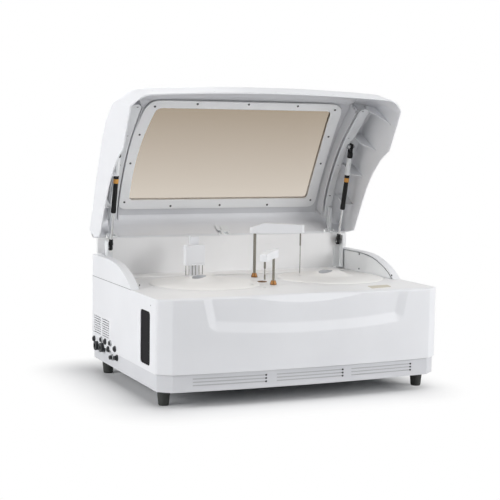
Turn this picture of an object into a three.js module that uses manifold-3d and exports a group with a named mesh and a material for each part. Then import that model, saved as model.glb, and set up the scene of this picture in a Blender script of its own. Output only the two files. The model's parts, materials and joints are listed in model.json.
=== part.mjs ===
// Benchtop chemistry analyzer with its lid raised on two gas struts.
// Millimetres, +Z up, +X to the operator's right, +Y towards the rear.
// The body stands on z = 0. Lid pieces are drawn with the lid shut and then turned open about the hinge.

import * as THREE from 'three';
import { mergeVertices } from 'three/addons/utils/BufferGeometryUtils.js';
import Module from 'manifold-3d';

const wasm = await Module();
wasm.setup();

// Body
const bodyWidth = 880;
const bodyDepth = 623.5;
const bowSag = 18.8;
const cornerCutX = 38.5;
const cornerCutY = 31;
const footHeight = 44.8;
const seamHeight = 93;
const deckHeight = 298.8;
const panelWall = 3;
const deckWall = 3;
const fitGap = 0.3;
const cutOverrun = 4;
const bowSteps = 16;

const halfWidth = bodyWidth / 2;
const rearY = bodyDepth / 2;
const faceHalfX = halfWidth - cornerCutX;
const sideFrontY = bowSag - rearY + cornerCutY;

// Skirt, chassis and feet
const skirtInset = 5;
const skirtWall = 3;
const chassisWall = 2.5;
const footTopRadius = 19;
const footToeRadius = 15;
const footToeHeight = 3;
const footEdgeX = 38;
const footFrontBack = 68;
const footRearIn = 42;

// Skirt slots: three groups of three rows, each group given by its ends as shares of half the width
const skirtSlotHeight = 3.2;
const skirtSlotPitch = 9;
const skirtSlotTop = 82;
const skirtSlotRows = 3;
const skirtSlotEndShares = [[-0.78, -0.286], [-0.22, 0.259], [0.316, 0.782]];

// Inner frame
const frameTube = 20;
const frameOutX = 13;
const frameFrontIn = 17;
const frameRearIn = 26.5;

// Front panel
const frontWall = 4;
const recessBacking = 13;
const recessDepth = 9.5;
const recessBand = 28;
const recessSideBand = 22;
const recessTopIn = 113;
const recessLowIn = 127;
const recessBackIn = 95;
const recessTopHalf = halfWidth - recessTopIn;
const recessLowHalf = halfWidth - recessLowIn;
const recessDown = 93.8;
const recessLowZ = deckHeight - recessDown;
const recessSmile = 14;
const recessCorner = 20;
const recessBackHalf = halfWidth - recessBackIn;
const recessBackDown = 122.8;
const recessBackLowZ = deckHeight - recessBackDown;
const crescentIn = 224;
const crescentHalf = halfWidth - crescentIn;
const crescentDrop = 28;
const crescentBack = 36;
const crescentMargin = 16;
const crescentSteps = 16;

// Side panels
const windowFrontIn = 45.95;
const windowLength = 78;
const windowRise = 15;
const windowTopDrop = 40.8;
const windowFrontY = sideFrontY + windowFrontIn;
const windowRearY = windowFrontY + windowLength;
const windowLowZ = seamHeight + windowRise;
const windowTopZ = deckHeight - windowTopDrop;
const windowCorner = 12;
const windowSetBack = 1.5;
const windowThick = 4.5;
const grilleRearIn = 17.75;
const grilleLength = 148;
const grilleRearY = rearY - grilleRearIn;
const grilleFrontY = grilleRearY - grilleLength;
const grilleBridge = 12;
const grilleRows = 8;
const grilleRise = 87;
const grilleTopZ = seamHeight + grilleRise;
const grillePitch = 7.2;
const grilleSlot = 2.6;

// Fluid ports on the left side: [y share of the half depth, z share of the seam height], small and large
const smallPortRadius = 6.5;
const largePortRadius = 14;
const smallPortReach = 6;
const largePortReach = 9;
const portBoreRadius = 3;
const portClearance = 0.4;
const portPlateWall = 3;
const portPlateIn = 9;
const smallPortShares = [
  [0.93, 1.13], [0.70, 1.22], [0.578, 1.22], [0.42, 1.25], [0.48, 1.02], [0.279, 1.14], [0.40, 0.80], [0.262, 0.86],
];
const largePortShares = [[0.835, 0.95], [0.662, 0.98]];
const portPlateMargin = 20;

// Rear: mains inlet and rocker switch
const inletSideIn = 140;
const inletX = halfWidth - inletSideIn;
const inletRise = 42;
const inletZ = seamHeight + inletRise;
const inletWidth = 86;
const inletHeight = 40;
const inletDeep = 24;
const inletSocketWidth = 27;
const inletSocketHeight = 21;
const inletSocketDeep = 16;
const inletSocketSide = -19;
const inletPin = 4;
const inletPinReach = 12;
const rockerWidth = 20;
const rockerHeight = 26;
const rockerSide = 22;
const rockerClearance = 1.2;
const rockerDeep = 10;
const rockerProud = 1.6;
const rockerTilt = THREE.MathUtils.degToRad(7);
const rearCornerIn = 3;

// Rear wall, wings and their plates
const wallFrontIn = 23.75;
const wallThick = 12;
const wallRise = 117.2;
const wallTopZ = deckHeight + wallRise;
const wallSkin = 3;
const wallUpperIn = 8;
const wallUpperHalf = halfWidth - wallUpperIn;
const wallLedgeHeight = 3;
const wallLedgeSide = 30;
const wingWidthShare = 0.0568;
const wingSkin = 3;
const wingTopRise = 67.2;
const wingPlateInset = 5;
const wingPlateWall = 1.5;
// Wing's top edge from its front foot to its flat top: [y, rise as a share of wingTopRise]
const wingCurveShares = [
  [-0.19, 0.0], [-0.13, 0.20], [-0.07, 0.37], [0.0, 0.53], [0.075, 0.66], [0.15, 0.775],
  [0.25, 0.885], [0.38, 0.965], [0.52, 1.0], [1.0, 1.0],
];

// Lid hinge and opening
const hingeRise = 9;
const openAngle = THREE.MathUtils.degToRad(61.7);
const knuckleRadius = 6;
const hingePinRadius = 2.6;
const pinClearance = 0.3;
const sideHingeIn = 60;
const sideHingeX = halfWidth - sideHingeIn;
const knuckleWidth = 15.4;
const lugWidth = 7;
const lugPlate = 2.6;
const lugPlateDeep = 10;
const notchMargin = 3;
const leafBack = 2;

// Lid shell
const lidWall = 4;
const lidRimGap = 3.2;
const lidHeight = 213;
const lidFrontIn = 59.75;
const lidBowSag = 14;
const lidCornerX = 37;
const lidCornerY = 38;
const lidSkirtLow = 9.5;
const lidRearOut = 5;
const plateauIn = 100;
const plateauHalf = halfWidth - plateauIn;
const plateauRearRise = 217.2;
const plateauRearZ = deckHeight + plateauRearRise;
const plateauTilt = THREE.MathUtils.degToRad(6.03);
const plateauRearIn = 45.75;
const plateauRearY = rearY - plateauRearIn;
const edgeRound = 6;
// Front curve of the lid: [distance behind the rim, height above the rim], as shares of lidHeight
const lidFrontShares = [
  [0.0, 0.0], [0.075, 0.225], [0.131, 0.413], [0.216, 0.577], [0.329, 0.695], [0.42, 0.742], [0.5, 0.778],
];
// Crown of the lid at its sides: [share of the way from its rear to its front, height share of lidHeight]
const crownRearOut = 4.4;
const crownFrontBack = 158.5;
const sideCrownShares = [
  [0, 0.751], [0.0449, 0.775], [0.1226, 0.79], [0.2351, 0.813], [0.347, 0.836], [0.4605, 0.855], [0.5738, 0.87],
  [0.6728, 0.876], [0.7717, 0.878], [0.8213, 0.874], [0.8706, 0.868], [0.8973, 0.863],
];
// The same points over the middle, as shares of the way from the plateau's rear edge to the window's front edge
const middleRearOut = 5;
const middleRearIn = 13.5;
const plateauShares = [0, 0.1217, 0.2434, 0.3664, 0.4894, 0.5966, 0.7037, 0.7857, 0.893, 1.0];
const ribThick = 3;
const ribSideIn = 35;
const ribInX = halfWidth - ribSideIn;
const ribRise = 116.2;
const ribLowZ = deckHeight + ribRise;
// Gusset ribs: [y share of the half depth, height of the skirt end as a share of lidHeight]
const ribShares = [[-0.436, 0.13], [-0.067, 0.315], [0.3015, 0.48], [0.664, 0.53]];

// Window, bezel and liner
const glassSink = 9.4;
const glassThick = 4.7;
const glassLap = 10;
const bezelThick = 5.7;
const openingRearIn = 73.75;
const openingFrontIn = 140;
const openingRearSideIn = 28;
const openingFrontSideIn = 47;
const openingRearY = rearY - openingRearIn;
const openingFrontY = lidFrontIn - rearY + openingFrontIn;
const openingRearHalf = plateauHalf - openingRearSideIn;
const openingFrontHalf = plateauHalf - openingFrontSideIn;
const openingCorner = 14;
const openingFrontCorner = 20;
const sideBow = 12;
const sideBowEaseShare = 0.62; // of half the window's length
const windowArch = 22;
const bezelBandRear = 30;
const bezelBandFront = 27;
const bezelBandSide = 34;
const bezelCorner = 30;
const bezelFrontCorner = 44;
const archRearY = openingRearY + bezelBandRear;
const archFrontLap = 6;
const archFrontY = openingFrontY - archFrontLap;
const linerWall = 2.5;
const linerSideIn = 78.3;
const linerHalf = halfWidth - linerSideIn;
const linerLipGap = 1;

// Lid arms
const armInX = linerHalf + fitGap;
const armWidth = 21;
const armWall = 2.5;
const armDepth = 12;
const armStudRadius = 2.5;
const armStudReach = 20;
const armStudHead = 4;
const armTongueIn = 41.75;
const armTongueRearY = rearY - armTongueIn;
const armRearIn = 34.3;
const armFrontY = -0.445 * rearY;
const armRearY = rearY - armRearIn;
// Lower edge of the arm, front to rear: [share of its length, height above the hinge as a share of lidHeight]
const armCurveShares = [
  [0, -0.0427], [0.176, 0.0751], [0.3033, 0.1512], [0.4456, 0.2028], [0.5834, 0.2282], [0.7228, 0.231],
  [0.8576, 0.2085], [1, 0.1315],
];

// Gas struts
const strutSideIn = 45.5;
const strutLowIn = 35.75;
const strutLowDrop = 28;
const strutTopIn = 114.75;
const strutTopRise = 288;
const strutX = halfWidth - strutSideIn;
const strutLowY = rearY - strutLowIn;
const strutLowZ = wallTopZ - strutLowDrop;
const strutTopOpenY = rearY - strutTopIn;
const strutTopOpenZ = wallTopZ + strutTopRise;
const strutTubeRadius = 7.5;
const strutRodRadius = 4;
const strutBoreRadius = 4.6;
const strutTubeLength = 212;
const strutHookLength = 26;
const strutHookWidth = 18;
const strutHookThick = 6;
const strutSlot = 7.4;
const strutSlotTravel = 8.6;
const strutRodInside = 16;
const socketRadius = 8;
const socketThick = 8;
const socketBore = 3;
const stemRadius = 5.5;
const bracketWall = 3;
const bracketReach = 14;
const bracketFrontY = strutLowY - bracketReach;
const bracketStudRadius = 2.6;
const bracketFlange = 22;

// Deck: discs and their bowls
const coverShare = 0.1875;
const wellLap = 7;
const ledgeClearance = 3;
const coverRadius = coverShare * bodyWidth;
const wellRadius = coverRadius - wellLap;
const coverEdge = 2.4;
const coverWall = 2.5;
const coverRise = 7;
const gripRadius = coverRadius * 0.36;
const gripRise = 18;
const gripTopRadius = 18;
const scoopRadius = 30;
const scoopSideX = -30;
const scoopSideY = -16;
const scoopRise = 9;
const reactionX = -0.2091 * bodyWidth;
const reactionY = 0.0353 * bodyDepth;
const reagentX = 0.2784 * bodyWidth;
const reagentY = 0.0642 * bodyDepth;
const bowlFlangeIn = 3.5;
const bowlIn = 7.5;
const bowlFlangeRadius = coverRadius - bowlFlangeIn;
const bowlRadius = coverRadius - bowlIn;
const bowlWall = 2.5;
const bowlDeep = 70;
const discSegments = 40;

// Reaction ring and reagent carousel
const cuvetteIn = 18;
const cuvetteRadius = coverRadius - cuvetteIn;
const ringBand = 12;
const ringTopDrop = 7;
const ringHeight = 54;
const webThick = 5;
const hubRadius = 20;
const hubHeight = 28;
const shaftRadius = 6;
const shaftClearance = 1.5;
const cuvetteCount = 44;
const cuvetteWide = 15;
const cuvetteDeep = 8;
const cuvetteFloor = 5;
const carouselIn = 13;
const carouselOuter = coverRadius - carouselIn;
const carouselInner = coverRadius * 0.4727;
const carouselHeight = 46;
const carouselTopDrop = 10;
const bottleCount = 12;
const bottleLength = 31;
const bottleOuter = coverRadius - cuvetteIn;
const bottleInner = bottleOuter - bottleLength;
const bottleShare = 0.84;
const cupCount = 12;
const cupRadius = 10;
const cupSides = 12;
const motorRadius = 28;
const motorHeight = 56;
const motorBoreClearance = 0.5;
const motorBoreDeep = 30;

// Probe
const probeX = 0.0273 * bodyWidth;
const probeY = 0.2005 * bodyDepth;
const probeShaftRadius = 4.6;
const probeShaftDown = 110.8;
const probeArmRise = 137.2;
const probeShaftLowZ = deckHeight - probeShaftDown;
const probeArmLowZ = deckHeight + probeArmRise;
const probeArmHeight = 33;
const probeArmTail = 18;
const probeArmHalfWide = 16;
const probeArmTipHalf = 12;
const probeTipX = 0.1682 * bodyWidth;
const probeTipY = 0.093 * bodyDepth;
const probeTipRise = 15.2;
const probeTipZ = deckHeight + probeTipRise;
const needleRadius = 1.1;
const needleSleeveRadius = 2.4;
const needleSleeveLength = 44;
const bushFlangeRadius = 10;
const bushTopRadius = 6.6;
const bushHeight = 13;
const bushFlange = 3.5;
const bushSleeveRadius = 7.6;
const bushSleeveDeep = 30;
const shaftSocketDeep = 18;

// Mixer
const mixerX = 0;
const mixerY = -0.1059 * bodyDepth;
const mixerShaftRadius = 3.8;
const mixerShaftDown = 108.8;
const mixerArmRise = 80.2;
const mixerShaftLowZ = deckHeight - mixerShaftDown;
const mixerArmLowZ = deckHeight + mixerArmRise;
const mixerArmHeight = 26;
const mixerArmTail = 30;
const mixerArmHalfWide = 11;
const mixerRun = 53;
const mixerTipX = mixerX - mixerRun;
const mixerTipY = mixerY - mixerRun;
const mixerTipRise = 23.2;
const mixerTipZ = deckHeight + mixerTipRise;
const paddleCouplingRadius = 3.2;
const paddleCouplingLength = 20;
const paddleShaftRadius = 1.3;
const paddleWide = 5;
const paddleThick = 1.2;
const paddleHeight = 15;
const mixerHeadDrop = 4;
const parkHoleRadius = 6.5;
const mixerHeadLength = 24;

// Wash pot and wash station
const potAside = 3;
const potBack = 75;
const potX = mixerX - potAside;
const potY = mixerY + potBack;
const potRadius = 13;
const potWall = 1.3;
const potFlangeRadius = 15.6;
const potFlange = 1.5;
const potDeep = 58;
const washFirstPocket = 10;
const washPockets = 3;
const washNeedleRadius = 1.2;
const washTipRise = 7.7;
const washPlateRise = 39.2;
const washTipZ = deckHeight + washTipRise;
const washPlateZ = deckHeight + washPlateRise;
const washPlateThick = 6;
const washHeadRise = 101.2;
const washHeadTopZ = deckHeight + washHeadRise;
const washHeadOutward = 7;
const washHeadRearY = reactionY + cuvetteRadius + washHeadOutward;
const washHeadSide = 6;
const washPostAside = 33;
const washPostX = reactionX + washPostAside;
const washPostWide = 28;
const washPostDeep = 16;
const washPostGap = 1;
const washPostFrontY = reactionY + coverRadius + washPostGap;
const washPostRearY = washPostFrontY + washPostDeep;
const washPostRise = 126.2;
const washPostTopZ = deckHeight + washPostRise;
const washBracketWide = 18;
const washSlotHalf = 7;

// Boards and pumps inside the body
const supplyX0 = 0.17 * bodyWidth;
const supplyX1 = 0.375 * bodyWidth;
const supplyRearIn = 72;
const supplyLength = 130;
const supplyY1 = rearY - supplyRearIn;
const supplyY0 = supplyY1 - supplyLength;
const supplyHeight = 80;
const supplyVent = 60;
const supplyVentDeep = 6;
const boardX0 = -0.148 * bodyWidth;
const boardX1 = 0.102 * bodyWidth;
const boardRearIn = 62;
const boardLength = 140;
const boardY1 = rearY - boardRearIn;
const boardY0 = boardY1 - boardLength;
const boardRise = 10;
const boardThick = 2;
const boardStand = 8;
const chipSize = 24;
const chipHeight = 4;
const pumpX = 0.051 * bodyWidth;
const pumpFrontIn = 102;
const pumpY = pumpFrontIn - rearY;
const pumpWide = 60;
const pumpDeep = 50;
const pumpHeight = 90;
const pumpBarrelRadius = 11;
const pumpBarrelHeight = 60;

// Colours and finishes
const finish = (color, roughness, metalness = 0) => new THREE.MeshStandardMaterial({ color, roughness, metalness });
const whitePlastic = finish(0xe8e9ed, 0.38);
const skirtPlastic = finish(0xd6d8dc, 0.45);
const linerPlastic = finish(0xb6b9be, 0.5);
const bezelPlastic = finish(0xcccdce, 0.45);
const darkPlastic = finish(0x26282b, 0.45);
const footRubber = finish(0x353735, 0.85);
const paintedSteel = finish(0xc4c7cb, 0.4, 0.4);
const steel = finish(0x9a9790, 0.3, 0.9);
const brass = finish(0xb07a3c, 0.35, 0.9);
const strutBlack = finish(0x141416, 0.35);
const boardGreen = finish(0x2f5a3c, 0.6);
const potBrown = finish(0x7a6238, 0.5);
const glassTint = finish(0xbfb2a4, 0.12);
glassTint.transparent = true;
glassTint.opacity = 0.75;

// Solids

const weldTolerance = 1e-4;

function solid(geometry) {
  const bare = geometry.clone();
  for (const name of Object.keys(bare.attributes)) {
    if (name !== 'position') bare.deleteAttribute(name);
  }
  const merged = mergeVertices(bare, weldTolerance);
  const index = Array.from(merged.index.array);
  const vertices = merged.attributes.position.array;
  const kept = [];
  for (let i = 0; i < index.length; i += 3) {
    const [a, b, c] = index.slice(i, i + 3);
    if (a !== b && b !== c && c !== a) kept.push(a, b, c);
  }
  if (signedVolume(vertices, kept) < 0) kept.reverse();
  return new wasm.Manifold(new wasm.Mesh({
    numProp: 3,
    vertProperties: new Float32Array(vertices),
    triVerts: new Uint32Array(kept),
  }));
}

function signedVolume(vertices, triangles) {
  const corner = (i) => new THREE.Vector3(vertices[3 * i], vertices[3 * i + 1], vertices[3 * i + 2]);
  let sum = 0;
  for (let i = 0; i < triangles.length; i += 3) {
    const [a, b, c] = [corner(triangles[i]), corner(triangles[i + 1]), corner(triangles[i + 2])];
    sum += a.dot(b.cross(c));
  }
  return sum;
}

function geometryOf(body) {
  const mesh = body.getMesh();
  const count = mesh.vertProperties.length / mesh.numProp;
  const positions = new Float32Array(count * 3);
  for (let i = 0; i < count; i += 1) {
    for (let k = 0; k < 3; k += 1) positions[3 * i + k] = mesh.vertProperties[mesh.numProp * i + k];
  }
  const geometry = new THREE.BufferGeometry();
  geometry.setAttribute('position', new THREE.BufferAttribute(positions, 3));
  geometry.setIndex(new THREE.BufferAttribute(new Uint32Array(mesh.triVerts), 1));
  geometry.computeVertexNormals();
  return geometry;
}

const join = (first, ...rest) => rest.reduce((body, other) => body.add(other), first);
const cut = (first, ...rest) => rest.reduce((body, other) => body.subtract(other), first);

const mirrored = (body) => solid(geometryOf(body).scale(-1, 1, 1));
const placed = (body, matrix) => solid(geometryOf(body).applyMatrix4(matrix));

const point = (x, y) => new THREE.Vector2(x, y);

// A flat outline in X and Y, raised from z0 to z1
function slab(outline, z0, z1) {
  const geometry = new THREE.ExtrudeGeometry(new THREE.Shape(outline), { depth: z1 - z0, bevelEnabled: false });
  return solid(geometry.translate(0, 0, z0));
}

const sideBasis = new THREE.Matrix4().makeBasis(
  new THREE.Vector3(0, 1, 0), new THREE.Vector3(0, 0, 1), new THREE.Vector3(1, 0, 0));
const frontBasis = new THREE.Matrix4().makeBasis(
  new THREE.Vector3(1, 0, 0), new THREE.Vector3(0, 0, 1), new THREE.Vector3(0, -1, 0));

// A side outline in Y and Z, drawn out from x0 to x1
function sideSlab(outline, x0, x1) {
  const geometry = new THREE.ExtrudeGeometry(new THREE.Shape(outline), { depth: x1 - x0, bevelEnabled: false });
  return solid(geometry.applyMatrix4(sideBasis).translate(x0, 0, 0));
}

// A front outline in X and Z, drawn out from y0 to y1
function frontSlab(outline, y0, y1) {
  const geometry = new THREE.ExtrudeGeometry(new THREE.Shape(outline), { depth: y1 - y0, bevelEnabled: false });
  return solid(geometry.applyMatrix4(frontBasis).translate(0, y1, 0));
}

function block(x0, x1, y0, y1, z0, z1) {
  const geometry = new THREE.BoxGeometry(x1 - x0, y1 - y0, z1 - z0);
  return solid(geometry.translate((x0 + x1) / 2, (y0 + y1) / 2, (z0 + z1) / 2));
}

function upright(radius, x, y, z0, z1, sides = 20) {
  const geometry = new THREE.CylinderGeometry(radius, radius, z1 - z0, sides);
  return solid(geometry.rotateX(Math.PI / 2).translate(x, y, (z0 + z1) / 2));
}

function crosswise(radius, x0, x1, y, z, sides = 20) {
  const geometry = new THREE.CylinderGeometry(radius, radius, x1 - x0, sides);
  return solid(geometry.rotateZ(Math.PI / 2).translate((x0 + x1) / 2, y, z));
}

// A profile of [radius, z] points turned about the upright line through x, y
function turned(profile, x, y, sides = discSegments) {
  const geometry = new THREE.LatheGeometry(profile.map(([r, z]) => point(r, z)), sides);
  return solid(geometry.rotateX(Math.PI / 2).translate(x, y, 0));
}

// A closed skin through rings of points, each ring with as many points, with flat ends
function loft(rings, flatten) {
  const count = rings[0].length;
  const positions = rings.flat().flatMap((p) => [p.x, p.y, p.z]);
  const index = [];
  for (let r = 0; r + 1 < rings.length; r += 1) {
    for (let i = 0; i < count; i += 1) {
      const j = (i + 1) % count;
      const [a, b] = [r * count + i, r * count + j];
      index.push(a, b, b + count, a, b + count, a + count);
    }
  }
  const last = (rings.length - 1) * count;
  const ends = [[rings[0], 0, true], [rings[rings.length - 1], last, false]];
  for (const [ring, start, turn] of ends) {
    for (const [a, b, c] of THREE.ShapeUtils.triangulateShape(ring.map(flatten), [])) {
      const face = turn ? [a, c, b] : [a, b, c];
      index.push(...face.map((i) => i + start));
    }
  }
  const geometry = new THREE.BufferGeometry();
  geometry.setAttribute('position', new THREE.Float32BufferAttribute(positions, 3));
  geometry.setIndex(index);
  return solid(fixEnds(geometry, rings, flatten));
}

// The two ends of a loft have to turn the same way round as its sides: the turn of the first ring tells which
function fixEnds(geometry, rings, flatten) {
  const clockwise = THREE.ShapeUtils.isClockWise(rings[0].map(flatten));
  const ends = THREE.ShapeUtils.triangulateShape(rings[0].map(flatten), []).length;
  if (!clockwise) return geometry;
  const index = Array.from(geometry.index.array);
  const first = index.length - 2 * 3 * ends;
  for (let i = first; i < index.length; i += 3) [index[i + 1], index[i + 2]] = [index[i + 2], index[i + 1]];
  geometry.setIndex(index);
  return geometry;
}

// Outline moved to its left by a distance. A closed outline that runs anticlockwise shrinks.
function offsetLine(points, distance, closed = true) {
  const count = points.length;
  return points.map((p, i) => {
    const before = points[closed ? (i + count - 1) % count : Math.max(i - 1, 0)];
    const after = points[closed ? (i + 1) % count : Math.min(i + 1, count - 1)];
    const lead = i > 0 || closed ? p.clone().sub(before).normalize() : after.clone().sub(p).normalize();
    const tail = i < count - 1 || closed ? after.clone().sub(p).normalize() : lead;
    const normal = point(-lead.y - tail.y, lead.x + tail.x).normalize();
    const spread = normal.x * -lead.y + normal.y * lead.x;
    return p.clone().addScaledVector(normal, distance / spread);
  });
}

// Polygon with each corner eased over a given length
function eased(points, ease, steps = 4) {
  const result = [];
  points.forEach((p, i) => {
    const reach = Array.isArray(ease) ? ease[i] : ease;
    const before = points[(i + points.length - 1) % points.length];
    const after = points[(i + 1) % points.length];
    const start = p.clone().addScaledVector(before.clone().sub(p).normalize(), reach);
    const end = p.clone().addScaledVector(after.clone().sub(p).normalize(), reach);
    for (let k = 0; k <= steps; k += 1) {
      const t = k / steps;
      const bend = start.clone().multiplyScalar((1 - t) ** 2);
      result.push(bend.addScaledVector(p, 2 * t * (1 - t)).addScaledVector(end, t * t));
    }
  });
  return result;
}

const circle = (radius, x, y, sides, from = 0, to = 2 * Math.PI) => {
  const whole = Math.abs(to - from - 2 * Math.PI) < weldTolerance;
  return Array.from({ length: whole ? sides : sides + 1 }, (_, i) => {
    const angle = from + ((to - from) * i) / sides;
    return point(x + radius * Math.cos(angle), y + radius * Math.sin(angle));
  });
};

const object = new THREE.Group();
const body = new THREE.Group();
object.add(body);

function add(name, shape, material, parent = body) {
  const mesh = new THREE.Mesh(geometryOf(shape), material);
  mesh.name = name;
  parent.add(mesh);
  return mesh;
}

// Plan of the body

const frontLineY = (x) => bowSag * (x / faceHalfX) ** 2 - rearY;

function planOutline(inset = 0) {
  const bow = Array.from({ length: bowSteps + 1 }, (_, i) => {
    const x = faceHalfX * ((2 * i) / bowSteps - 1);
    return point(x, frontLineY(x));
  });
  const outline = [
    point(-halfWidth, rearY), point(-halfWidth, sideFrontY), ...bow,
    point(halfWidth, sideFrontY), point(halfWidth, rearY),
  ];
  return inset === 0 ? outline : offsetLine(outline, inset);
}

// Chassis, feet, skirt and frame

const chassisTopZ = footHeight + chassisWall;
const sideInnerX = halfWidth - panelWall;
const deckLowZ = deckHeight - deckWall;

function buildBase() {
  const skirtInner = skirtInset + skirtWall;
  add('chassis_plate', slab(planOutline(skirtInner + fitGap), footHeight, chassisTopZ), paintedSteel);
  const feet = [
    ['foot_front_left', -1, sideFrontY - cornerCutY + footFrontBack], ['foot_front_right', 1,
      sideFrontY - cornerCutY + footFrontBack],
    ['foot_rear_left', -1, rearY - footRearIn], ['foot_rear_right', 1, rearY - footRearIn],
  ];
  const profile = [[0, 0], [footToeRadius - footToeHeight / 2, 0], [footToeRadius, footToeHeight],
    [footTopRadius, footHeight], [0, footHeight]];
  for (const [name, side, y] of feet) {
    add(name, turned(profile, side * (halfWidth - footEdgeX), y, 20), footRubber);
  }
  const ring = cut(
    slab(planOutline(skirtInset), footHeight, seamHeight - fitGap),
    slab(planOutline(skirtInner), footHeight - cutOverrun, seamHeight + cutOverrun));
  const slots = [];
  for (const [from, to] of skirtSlotEndShares) {
    for (let row = 0; row < skirtSlotRows; row += 1) {
      const top = skirtSlotTop - row * skirtSlotPitch;
      slots.push(block(from * halfWidth, to * halfWidth, -rearY - cutOverrun, sideFrontY, top - skirtSlotHeight, top));
    }
  }
  add('base_skirt', cut(ring, ...slots, ...portHoles()), skirtPlastic);
}

const frameX1 = halfWidth - frameOutX;
const frameX0 = frameX1 - frameTube;
const frameY0 = sideFrontY + frameFrontIn;
const frameY1 = rearY - frameRearIn;

function buildFrame() {
  const legs = [];
  for (const side of [-1, 1]) {
    const [x0, x1] = side < 0 ? [-frameX1, -frameX0] : [frameX0, frameX1];
    legs.push(block(x0, x1, frameY0, frameY0 + frameTube, chassisTopZ, deckLowZ - fitGap));
    legs.push(block(x0, x1, frameY1 - frameTube, frameY1, chassisTopZ, deckLowZ - fitGap));
    legs.push(block(x0, x1, frameY0, frameY1, deckLowZ - fitGap - frameTube, deckLowZ - fitGap));
  }
  const rails = [frameY0, frameY1 - frameTube].map((y) => (
    block(-frameX1, frameX1, y, y + frameTube, deckLowZ - fitGap - frameTube, deckLowZ - fitGap)));
  add('inner_frame', join(legs[0], ...rails, ...legs.slice(1)), paintedSteel);
}

// Fluid ports

const portY = (share) => share * rearY;
const portZ = (share) => share * seamHeight;

function portHoles() {
  const holes = [];
  const outX = -halfWidth - cutOverrun;
  const kinds = [[smallPortShares, smallPortRadius, 12], [largePortShares, largePortRadius, 24]];
  for (const [list, radius, sides] of kinds) {
    for (const [y, z] of list) {
      holes.push(crosswise(radius + portClearance, outX, -halfWidth + portPlateIn - fitGap, portY(y), portZ(z), sides));
    }
  }
  return holes;
}

function buildPorts() {
  const plateOutX = -halfWidth + portPlateIn;
  const ys = [...smallPortShares, ...largePortShares].map(([y]) => portY(y));
  const zs = [...smallPortShares, ...largePortShares].map(([, z]) => portZ(z));
  const plate = block(
    plateOutX, plateOutX + portPlateWall,
    Math.min(...ys) - portPlateMargin, rearY - skirtInset - skirtWall - fitGap,
    Math.max(Math.min(...zs) - portPlateMargin, chassisTopZ + fitGap), Math.max(...zs) + portPlateMargin);
  const small = smallPortShares.map(([y, z]) => (
    crosswise(smallPortRadius, -halfWidth - smallPortReach, plateOutX + portPlateWall / 2, portY(y), portZ(z), 12)));
  const bores = smallPortShares.map(([y, z]) => (
    crosswise(portBoreRadius, -halfWidth - smallPortReach - cutOverrun, plateOutX, portY(y), portZ(z), 8)));
  add('port_plate', cut(join(plate, ...small), ...bores), paintedSteel);
  const names = ['waste_coupling', 'water_coupling'];
  largePortShares.forEach(([y, z], i) => {
    const outX = -halfWidth - largePortReach;
    const barrel = crosswise(largePortRadius, outX, plateOutX, portY(y), portZ(z), 24);
    const bore = crosswise(largePortRadius / 2, outX - cutOverrun, plateOutX - portPlateWall, portY(y), portZ(z), 16);
    const groove = cut(
      crosswise(largePortRadius + cutOverrun, -halfWidth - largePortReach / 2, -halfWidth - largePortReach / 4,
        portY(y), portZ(z), 24),
      crosswise(largePortRadius - 4 * fitGap, -halfWidth - largePortReach, -halfWidth, portY(y), portZ(z), 24));
    add(names[i], cut(barrel, bore, groove), darkPlastic);
  });
}

// Front panel

function crescentTool() {
  const rings = [];
  for (let i = 0; i <= crescentSteps; i += 1) {
    const along = (2 * i) / crescentSteps - 1;
    const x = crescentHalf * along;
    const share = Math.max(1 - along * along, 1 / crescentSteps / 4);
    const face = frontLineY(x);
    const high = point(face + crescentBack * share, deckHeight);
    const low = point(face, deckHeight - crescentDrop * share);
    const run = high.clone().sub(low).normalize().multiplyScalar(cutOverrun);
    const corner = point(face - 3 * cutOverrun, deckHeight + 3 * cutOverrun);
    const ring = [low.clone().sub(run), high.clone().add(run), corner];
    rings.push(ring.map((p) => new THREE.Vector3(x, p.x, p.y)));
  }
  return loft(rings, (p) => point(p.y, p.z));
}

// Sunk trapezoid: a front outline at the face and a smaller one on its floor, both following the bow
function recessTool() {
  const rings = [];
  const steps = 2 * bowSteps;
  for (let i = 0; i <= steps; i += 1) {
    const along = (2 * i) / steps - 1;
    const floorLow = recessLowZ + recessSmile * (along * along - 1) + recessBand;
    const lift = recessCorner * Math.max(0, (Math.abs(along) - 0.93) / 0.07) ** 2;
    const row = [[0, recessLowHalf, floorLow - recessBand + lift, 0], [1, recessLowHalf - recessSideBand, floorLow + lift,
      recessDepth]];
    const ring = [];
    for (const [, half, low, depth] of row) {
      for (const high of [0, 1]) {
        const top = deckHeight + cutOverrun;
        const z = high ? top : low;
        const x = along * (half + (recessTopHalf - recessLowHalf) * high);
        ring.push(new THREE.Vector3(x, frontLineY(x) + (depth || -cutOverrun), z));
      }
    }
    rings.push([ring[0], ring[1], ring[3], ring[2]]);
  }
  return loft(rings, (p) => point(p.y, p.z));
}

function buildFrontPanel() {
  const front = block(-halfWidth - cutOverrun, halfWidth + cutOverrun, -rearY - cutOverrun, sideFrontY,
    seamHeight, deckHeight + cutOverrun);
  const outer = slab(planOutline(), seamHeight, deckHeight).intersect(front);
  const inner = slab(planOutline(frontWall), seamHeight - cutOverrun, deckHeight - frontWall);
  const backing = cut(outer, slab(planOutline(recessBacking), seamHeight - cutOverrun, deckHeight - frontWall))
    .intersect(block(-recessBackHalf, recessBackHalf, -rearY, sideFrontY, recessBackLowZ, deckHeight));
  const crescentHalfOut = crescentHalf + crescentMargin;
  const corner = outer.intersect(block(-crescentHalfOut, crescentHalfOut, -rearY, sideFrontY,
    deckHeight - crescentDrop - crescentMargin, deckHeight));
  const shell = join(cut(outer, inner), backing, corner);
  add('front_panel', cut(shell, recessTool(), crescentTool()), whitePlastic);
}

// Side and rear panels

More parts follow.
